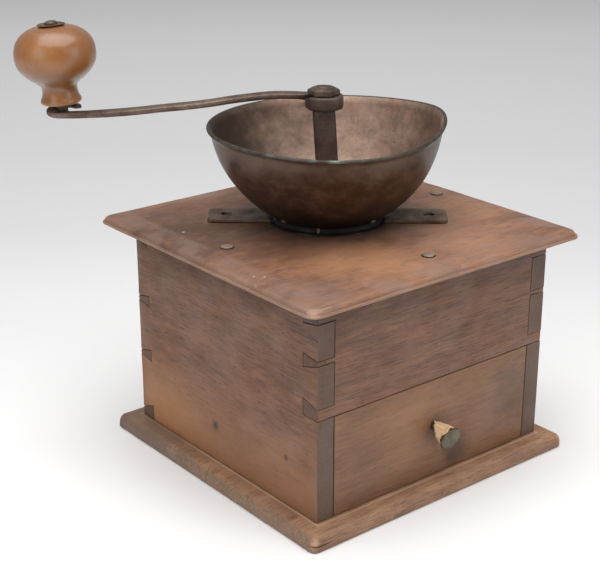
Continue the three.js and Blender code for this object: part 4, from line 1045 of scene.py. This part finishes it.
def bar_section(half_width, half_height, square, count=24):
    """Points round a bar's section with rubbed corners, as (across, up)."""
    ring = []
    for i in range(count):
        angle = 2 * math.pi * i / count
        c, s = math.cos(angle), math.sin(angle)
        ring.append((
            half_width * math.copysign(abs(c) ** (2 / square), c),
            half_height * math.copysign(abs(s) ** (2 / square), s)))
    return ring


def swept(stations):
    """A bar along stations of (centre, half width, half height, squareness), held level."""
    rings = []
    for i, (centre, half_width, half_height, square) in enumerate(stations):
        before, after = stations[max(i - 1, 0)][0], stations[min(i + 1, len(stations) - 1)][0]
        forward = (after - before).normalized()
        across = Vector((0, 0, 1)).cross(forward).normalized()
        up = forward.cross(across)
        section = bar_section(half_width, half_height, square)
        rings.append([centre + across * a + up * b for a, b in section])
    return skin(rings)


ARM_HEIGHTS = (
    (0, 203.9), (12, 204.2), (20, 204.7), (32, 204.8), (50, 203.1), (70, 200.5), (92, 198.7), (104, 197.6),
    (118, 196.7), (132, 196.2), (REACH, 196.2))


def arm_height(x):
    line = curve_through([(a, b, 0) for a, b in ARM_HEIGHTS], 12)
    for p, q in zip(line, line[1:]):
        if p.x <= x <= q.x:
            return blend_between(p.y, q.y, (x - p.x) / (q.x - p.x))
    return ARM_HEIGHTS[-1][1]


def arm_offset(x):
    return blend_between(-6.2, LOOP_RADIUS, x / REACH)


def crank_arm(material):
    """One bar, wrapped round the shaft's tenon at one end and curled round the spindle at the other."""
    eye_mid, eye_half = (EYE_LOW + EYE_HIGH) / 2, (EYE_HIGH - EYE_LOW) / 2
    stations = []
    # The eye, from its scarfed tip on the left, round the front and right to the back.
    steps = 64
    for i in range(steps + 1):
        t = i / steps
        angle = math.radians(blend_between(-352, -90, t))
        tip = 1 - fade(t, 0, 0.16)
        half_width = blend_between(EYE_HALF_WIDTH, 1.6, tip)
        radius = EYE_RADIUS + 0.35 * tip
        half_height = blend_between(eye_half, 2.2, tip) - 0.9 * fade(t, 0.82, 1)
        centre = Vector((
            SHAFT_BEND + radius * math.cos(angle), radius * math.sin(angle),
            eye_mid - 0.5 * tip + 0.6 * fade(t, 0.8, 1)))
        stations.append((centre, half_width, half_height, EYE_SQUARENESS))
    # The arm, flattening as it leaves the eye.
    loop_start = REACH - 16
    for i in range(1, 61):
        x = blend_between(SHAFT_BEND, loop_start, i / 60)
        flat = fade(x, 4, 18)
        y = blend_between(-EYE_RADIUS, arm_offset(x), fade(x, 2, 20))
        z = blend_between(eye_mid + 0.6, arm_height(x), flat)
        half_height = blend_between(eye_half - 0.9, ARM_HALF_HEIGHT, flat)
        narrowing = fade(x, loop_start - 10, loop_start + 4)
        half_width = blend_between(EYE_HALF_WIDTH, blend_between(ARM_HALF_WIDTH, 3.0, narrowing), flat)
        square = blend_between(EYE_SQUARENESS, BAR_SQUARENESS, flat)
        stations.append((Vector((x, y, z)), half_width, half_height, square))
    # The loop: past the front of the spindle, round its outer side, then up behind it to a free tip.
    start, start_width = stations[-1][:2]
    for i in range(1, 9):
        t = i / 8
        y = blend_between(start.y, LOOP_RADIUS, fade(t, 0, 1))
        x = blend_between(start.x, REACH, t)
        half_width = blend_between(start_width, LOOP_HALF_WIDTH, t)
        centre = Vector((x, y, arm_height(x)))
        stations.append((centre, half_width, ARM_HALF_HEIGHT, BAR_SQUARENESS))
    steps = 56
    for i in range(1, steps + 1):
        t = i / steps
        angle = math.radians(blend_between(90, -160, t))
        radius = LOOP_RADIUS + 2.4 * fade(t, 0.5, 1)
        half_height = blend_between(ARM_HALF_HEIGHT, 1.15, t)
        low = LOOP_LOW + 2.9 * fade(t, 0.02, 0.9)
        tip = fade(t, 0.94, 1)
        centre = Vector((REACH + radius * math.cos(angle), radius * math.sin(angle), low + half_height))
        half_width = blend_between(LOOP_HALF_WIDTH, 2.0, tip)
        stations.append((centre, half_width, half_height * (1 - 0.2 * tip), BAR_SQUARENESS))
    points, faces = swept(stations)
    forged = []
    for p in points:
        ripple = 0.12 * wobble(p, 7, 11) + 0.06 * wobble(p, 2.4, 12)
        forged.append(p + Vector((0, ripple, min(ripple, 0))))
    piece("crank_arm_bar", moved((forged, faces), crank_point), material, "crank",
          ("crank_arm",), 45)


def rounded_square(half, chamfer, height, steps=4):
    ring = []
    cut = half - chamfer
    for sx, sy, start in ((1, 1, 0), (-1, 1, 90), (-1, -1, 180), (1, -1, 270)):
        for i in range(steps + 1):
            angle = math.radians(start + 90 * i / steps)
            blunt = 0.82 + 0.18 * abs(math.cos(2 * math.radians(90 * i / steps)))
            rub = chamfer * blunt * Vector((math.cos(angle), math.sin(angle), 0))
            ring.append(Vector((sx * cut, sy * cut, height)) + rub)
    return ring


def mill_shaft(material):
    """A square bar, round in its bearings, with a domed stub above the nut."""
    low, high = corners("mill_shaft")
    round_part = turned([
        (0, low.z), (1.9, low.z), (PIVOT_RADIUS, low.z + 2.8), (PIVOT_RADIUS, low.z + 4.2),
        (JOURNAL_RADIUS, low.z + 5.4), (JOURNAL_RADIUS, STRAP_HIGH + 1.4), (0, STRAP_HIGH + 1.4)], 40)
    rings = []
    bottom, top = STRAP_HIGH + 1, EYE_LOW - GAP
    between = [blend_between(bottom + 1, top - 0.5, i / 30) for i in range(31)]
    levels = [bottom, bottom + 0.5, *between, top]
    for z in levels:
        half = SHAFT_HALF - (0.35 if z in (bottom, top) else 0)
        rings.append([
            p + Vector((0.09, 0.09, 0)) * wobble(p, 9, 14) - p.normalized() * 0.1 * abs(wobble(p, 5, 15))
            for p in rounded_square(half, 1.9, z)])
    square = skin(rings)
    tenon = skin([rounded_square(TENON_HALF, 0.6, z) for z in (EYE_LOW - 1, EYE_HIGH)])
    stub_foot = EYE_HIGH - 1
    points, faces = turned([
        (0, stub_foot), (4, stub_foot), (4, high.z - 1.5), (3.85, high.z - 0.95), (3.2, high.z - 0.4),
        (2.0, high.z - 0.08), (0, high.z)], 32)
    hammered = [p + Vector((0.12, -0.05, 0)) * wobble(p, 2.2, 18) if p.z > EYE_HIGH else p for p in points]
    part = moved(joined(round_part, square, tenon, (hammered, faces)), bent_point)
    piece("mill_shaft_bar", part, material, "crank", ("mill_shaft",), 40)


def crank_nut(material):
    """A hand filed nut: six unequal flats, a filed chamfer above and rubbed corners."""
    low, high = corners("crank_nut")
    steps = 8
    turned_by = 4

    def corner(i):
        angle = math.radians(60 * i - turned_by)
        return Vector((math.cos(angle), math.sin(angle), 0))

    def ring(radius, height, round_off):
        made = []
        for i in range(6):
            for k in range(steps):
                p = corner(i).lerp(corner(i + 1), k / steps)
                p = p.lerp(p.normalized() * 0.93, round_off if k == 0 else round_off * 0.25)
                made.append(Vector((p.x * radius, p.y * radius, height)))
        return made

    levels = (
        (8.5, low.z, 0.3), (8.95, low.z + 0.35, 0.15), (8.95, low.z + 2.2, 0.15), (8.7, low.z + 2.7, 0.3),
        (7.2, high.z - 0.5, 0.7), (6.7, high.z - 0.15, 0.9), (6.0, high.z, 1.0))
    points, faces = skin([ring(*level) for level in levels])
    points = [p + Vector((0.2, 0.16, 0)) * wobble(p, 3.2, 19) for p in points]
    piece("crank_nut_filed", moved((points, faces), bent_point), material, "crank",
          ("crank_nut",), 28)


def knob_spindle(material):
    """The spindle's hammered end spreads over the washer."""
    low, top = LOOP_LOW + 0.6, SPINDLE_HIGH
    profile = [
        (0, low), (3.1, low), (3.1, top - 2.3), (3.35, top - 2.0), (3.5, top - 1.5), (3.3, top - 0.8),
        (2.5, top - 0.3), (1.2, top - 0.05), (0, top)]
    points, faces = turned(profile, 28)

    def hammered(p):
        dip = Vector((0, 0, -0.25 * abs(wobble(p, 1.5, 24))))
        return p + Vector((p.x, p.y, 0)) * 0.1 * wobble(p, 1.7, 23) + dip

    points = [hammered(p) if p.z > top - 2.4 else p for p in points]
    piece("knob_spindle_riveted", moved((points, faces), spindle_point), material, "crank",
          ("knob_spindle",), 40)


def knob_rove(material):
    """A thin irregular washer with its edge turned up."""
    low = KNOB_HIGH + GAP
    high = low + 0.9
    count = 48
    rings = []
    profile = (
        (3.2, 0.0), (5.5, 0.0), (7.0, 0.05), (7.7, 0.35), (7.8, 0.62), (7.5, 0.75), (6.8, 0.5), (5.5, 0.42),
        (3.2, 0.42))
    for radius, height in profile:
        ring = []
        for p in circle(radius, 0, count):
            share = fade(radius, 4, 8)
            out = 1 + share * (0.16 * wobble((p.x, p.y, 0), 5, 31) - 0.1)
            lift = share * 0.25 * wobble((p.x, p.y, 9), 6, 33)
            z = min(max(low + height + lift, low), high)
            ring.append(Vector((p.x * out, p.y * out, z)))
        rings.append(ring)
    part = moved(skin(rings, loop=True), spindle_point)
    piece("knob_rove_washer", part, material, "crank", ("knob_rove",), 50)


def crank_knob(material):
    """A turned bulb on a waisted foot, bored for the spindle."""
    outline = (
        (3.5, 0), (8.2, 0), (9.6, 0.15), (10.8, 0.7), (11.2, 1.7), (10.9, 2.9), (10.2, 4.3), (9.75, 6),
        (9.6, 7.8), (9.8, 9.4), (10.7, 10.9), (12.6, 12.5), (15.5, 14.6), (18.0, 16.8), (19.9, 19.1),
        (21.2, 21.4), (21.9, 23.8), (22.2, 26.6), (22.1, 28.8), (21.8, 30.6), (21.2, 32.6), (20.2, 34.7),
        (18.6, 36.8), (16.4, 38.7), (13.4, 40.4), (10.2, 41.5), (7.4, 42.0), (4.8, 42.1), (3.5, 42.1))
    line = [(radius, KNOB_LOW + rise, 0) for radius, rise in outline]
    profile = [(p.x, p.y) for p in curve_through(line, 5)]
    points, faces = turned(profile, 112, loop=True)
    points = [p - Vector((p.x, p.y, 0)).normalized() * 0.1 * (1 + wobble(p, 14, 41)) for p in points]
    piece("crank_knob_turned", moved((points, faces), spindle_point), material, "crank_knob",
          ("crank_knob",), 50)


# ---------------------------------------------------------------- drawer fittings

def drawer_knob(material):
    out = DRAWER_KNOB_OUT
    head = (
        (2.2, -5), (2.7, -4.1), (4.6, -3.3), (6.4, -2.5), (6.8, -2.0), (6.9, -1.4), (6.7, -0.95),
        (6.0, -0.45), (4.8, 0.1), (3.2, 0.62), (1.6, 0.92), (0, 1))
    profile = [(0, -18.4), (2.2, -18.4), *((radius, out + rise) for radius, rise in head)]
    points, faces = turned(profile, 56)
    points = [p + Vector((0, 0, -0.12 * abs(wobble(p, 3, 51)))) if p.z > out - 1 else p for p in points]
    piece("drawer_knob_head", moved((points, faces), drawer_knob_point), material, "drawer",
          ("drawer_knob",), 45)


def knob_packing(material):
    """A stiff leaf wrapped round the shank: ragged at the drawer, flaring to the head."""
    around, length = 84, 22
    wrap = math.radians(412)
    out = DRAWER_KNOB_OUT
    rows = []
    for j in range(length + 1):
        t = j / length
        row = []
        for i in range(around + 1):
            u = i / around
            angle = math.radians(150) - wrap * (u - 0.5)
            up_left = math.cos(angle - math.radians(125))
            below_left = max(0, math.cos(angle - math.radians(215)))
            ragged = 0.5 * wobble((u * 30, 0, 0), 1.3, 61) + 0.3 * wobble((u * 30, 0, 0), 0.5, 62)
            spike = 1.6 * math.exp(-((angle - math.radians(112)) / 0.13) ** 2)
            near = 1.5 + 4.6 * below_left ** 2 + ragged - spike * 0.6
            far = out - 4.0 + 0.35 * wobble((u * 20, 0, 0), 1.0, 63) + 2.0 * max(0, up_left) ** 10
            z = blend_between(near, far, t)
            radius = blend_between(3.0, 5.5, fade(z, 0.5, 11)) + 0.28 * wobble((u * 26, t * 2, 0), 1, 64)
            radius += 0.5 * (u - 0.5) + spike * 0.9 * (1 - t) ** 2
            radius += 1.2 * max(0, up_left) ** 10 * fade(t, 0.75, 1)
            row.append(Vector((radius * math.cos(angle), radius * math.sin(angle), z)))
        rows.append(row)
    points = [p for row in rows for p in row]
    width = around + 1
    faces = [
        (j * width + i, j * width + i + 1, (j + 1) * width + i + 1, (j + 1) * width + i)
        for j in range(length) for i in range(around)]
    part = moved((points, faces), drawer_knob_point)
    obj = piece("knob_packing_leaf", part, material, "drawer", ("knob_packing",), 60)
    leaf = obj.modifiers.new("leaf thickness", "SOLIDIFY")
    leaf.thickness = 0.32 * MM
    leaf.offset = 0


# ---------------------------------------------------------------- stage

CAMERA_PLACE = Vector((-469.33, -545.65, 371.65))
CAMERA_RIGHT = Vector((0.77737, -0.62904, 0.0))
CAMERA_FORWARD = Vector((0.58721, 0.72568, -0.35871))
LENS = 80.97
SENSOR_WIDTH = 36


def camera():
    data = bpy.data.cameras.new("camera")
    data.sensor_width = SENSOR_WIDTH
    data.lens = LENS
    obj = bpy.data.objects.new("camera", data)
    forward = CAMERA_FORWARD.normalized()
    up = CAMERA_RIGHT.normalized().cross(forward).normalized()
    right = forward.cross(up)
    turn = Matrix((right, up, -forward)).transposed()
    obj.matrix_world = Matrix.Translation(CAMERA_PLACE * MM) @ turn.to_4x4()
    data.clip_end = 50
    bpy.context.scene.collection.objects.link(obj)
    bpy.context.scene.camera = obj


def floor():
    """A pale sheet that runs far behind the object, its colour dimming with distance as a painted falloff
    of the light.
    """
    size = 12000
    mesh = bpy.data.meshes.new("floor")
    ends = ((-1, -1), (1, -1), (1, 1), (-1, 1))
    mesh.from_pydata([Vector((x * size, y * size, -0.2)) * MM for x, y in ends], [], [(0, 1, 2, 3)])
    obj = bpy.data.objects.new("floor", mesh)
    bpy.context.scene.collection.objects.link(obj)
    paint = Paint("Pale sheet")
    away = paint.node("VectorMath", "DOT_PRODUCT", 1, _0=paint.place, _1=(0.629, 0.777, 0))
    # The sheet's colour is graded with distance: painted falloff of the light.
    painted_falloff = paint.maths("DIVIDE", paint.sum(away, 200.0), 2000.0)
    paint.colour = paint.ramp(
        painted_falloff, (0.0, "ffffff"), (0.11, "f6f6f6"), (0.19, "e9e9e9"), (0.29, "dadada"), (0.43, "dcdcdc"),
        (0.75, "f3f3f3"))
    mesh.materials.append(paint.done(0.9))


def area_light(name, at, aim, size, power):
    data = bpy.data.lights.new(name, "AREA")
    data.shape = "RECTANGLE"
    data.size, data.size_y = size[0] * MM, size[1] * MM
    data.energy = power
    obj = bpy.data.objects.new(name, data)
    obj.location = Vector(at) * MM
    obj.rotation_euler = (Vector(aim) - Vector(at)).to_track_quat("-Z", "Y").to_euler()
    bpy.context.scene.collection.objects.link(obj)


def lights():
    world = bpy.data.worlds.new("studio")
    world.use_nodes = True
    background = world.node_tree.nodes["Background"]
    background.inputs["Color"].default_value = (1, 1, 1, 1)
    background.inputs["Strength"].default_value = 0.35
    bpy.context.scene.world = world
    area_light("overhead", (-100, -100, 1300), (0, 0, 100), (1500, 1300), 18)
    area_light("left", (-1500, -250, 700), (0, 0, 120), (900, 1100), 5)
    area_light("right", (700, -1500, 700), (0, 0, 120), (900, 1100), 5.4)


def studio():
    camera()
    floor()
    lights()
    bpy.context.scene.view_settings.view_transform = "Standard"


# ---------------------------------------------------------------- build

def wooden_parts():
    side = side_material()
    rail = rail_material()
    base = base_material()
    inside = drawer_inside_material()
    for name in ("case_side_left", "case_side_right"):
        worn_copy(name, name + "_worn", side, "case", 0.6, seed=1 + len(name))
    for name in ("front_rail", "back_board"):
        worn_copy(name, name + "_worn", rail, "case", 0.5, seed=2 + len(name))
    front = drawer_front_material()
    worn_copy("drawer_front", "drawer_front_worn", front, "drawer", 0.6, seed=9)
    for name in ("drawer_side_left", "drawer_side_right", "drawer_back", "drawer_bottom"):
        worn_copy(name, name + "_worn", inside, "drawer", 0.4, seed=len(name))
    piece("top_board_moulded", top_board(), top_material(), "case", ("top_board",), 40)
    for name, front_half in (("base_board_front", True), ("base_board_rear", False)):
        piece(name + "_rounded", base_board(front_half), base, "case", (name,), 40)
    crank_knob(knob_material())


def metal_parts():
    handled = iron("Handled iron", "43352d", "6b594e", "867466", eye_shade=0.6)
    nut = iron("Nut iron", "33291f", "544539", "7a6958", 0.55, 0.38, 0.6, 0.6, 4.0)
    strap = iron("Strap iron", "4b3c32", "6e5a4b", "87705f", 0.4, 0.48, 0.7, 0.7, 8.0)
    shaft = iron("Shaft iron", "3c312d", "594944", "705f57", 0.5, 0.42, 0.6, 0.5, 15.0)
    black = iron("Black iron", "1c1918", "2b2725", "3f3936", 0.5, 0.3, 0.45, 0.3, 22.0)
    nail = iron("Nail iron", "6d5c50", "9b8878", "b7a594", 0.4, 0.5, 0.65, 0.6, 29.0)
    steel = iron("Bright iron", "5d5955", "8a8580", "aaa49e", 0.8, 0.3, 0.5, 0.3, 36.0)
    hopper_bowl(copper_outside(), copper_inside(), copper_rim())
    bowl_rivets(steel)
    foot_ring(black)
    seam_strip(strap)
    strap_plate(strap)
    nails(nail, strap)
    crank_arm(handled)
    mill_shaft(shaft)
    crank_nut(nut)
    knob_spindle(handled)
    knob_rove(strap)
    drawer_knob(tarnished_brass())
    knob_packing(packing_material())
    plain = (
        (black, ("outer_burr", "lower_bridge")),
        (strap, ("hanger_leg_1", "hanger_leg_2", "leg_nut_1", "leg_nut_2", "lock_nut", "drawer_knob_nut")),
        (steel, ("step_bearing", "adjusting_screw", "inner_burr", "burr_pin")),
        (nail, [f"drawer_brad_{i}" for i in range(1, 9)] + [f"base_nail_{i}" for i in range(1, 5)]))
    for material, names in plain:
        for name in names:
            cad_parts[name].data.materials.clear()
            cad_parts[name].data.materials.append(material)


studio()
wooden_parts()
metal_parts()
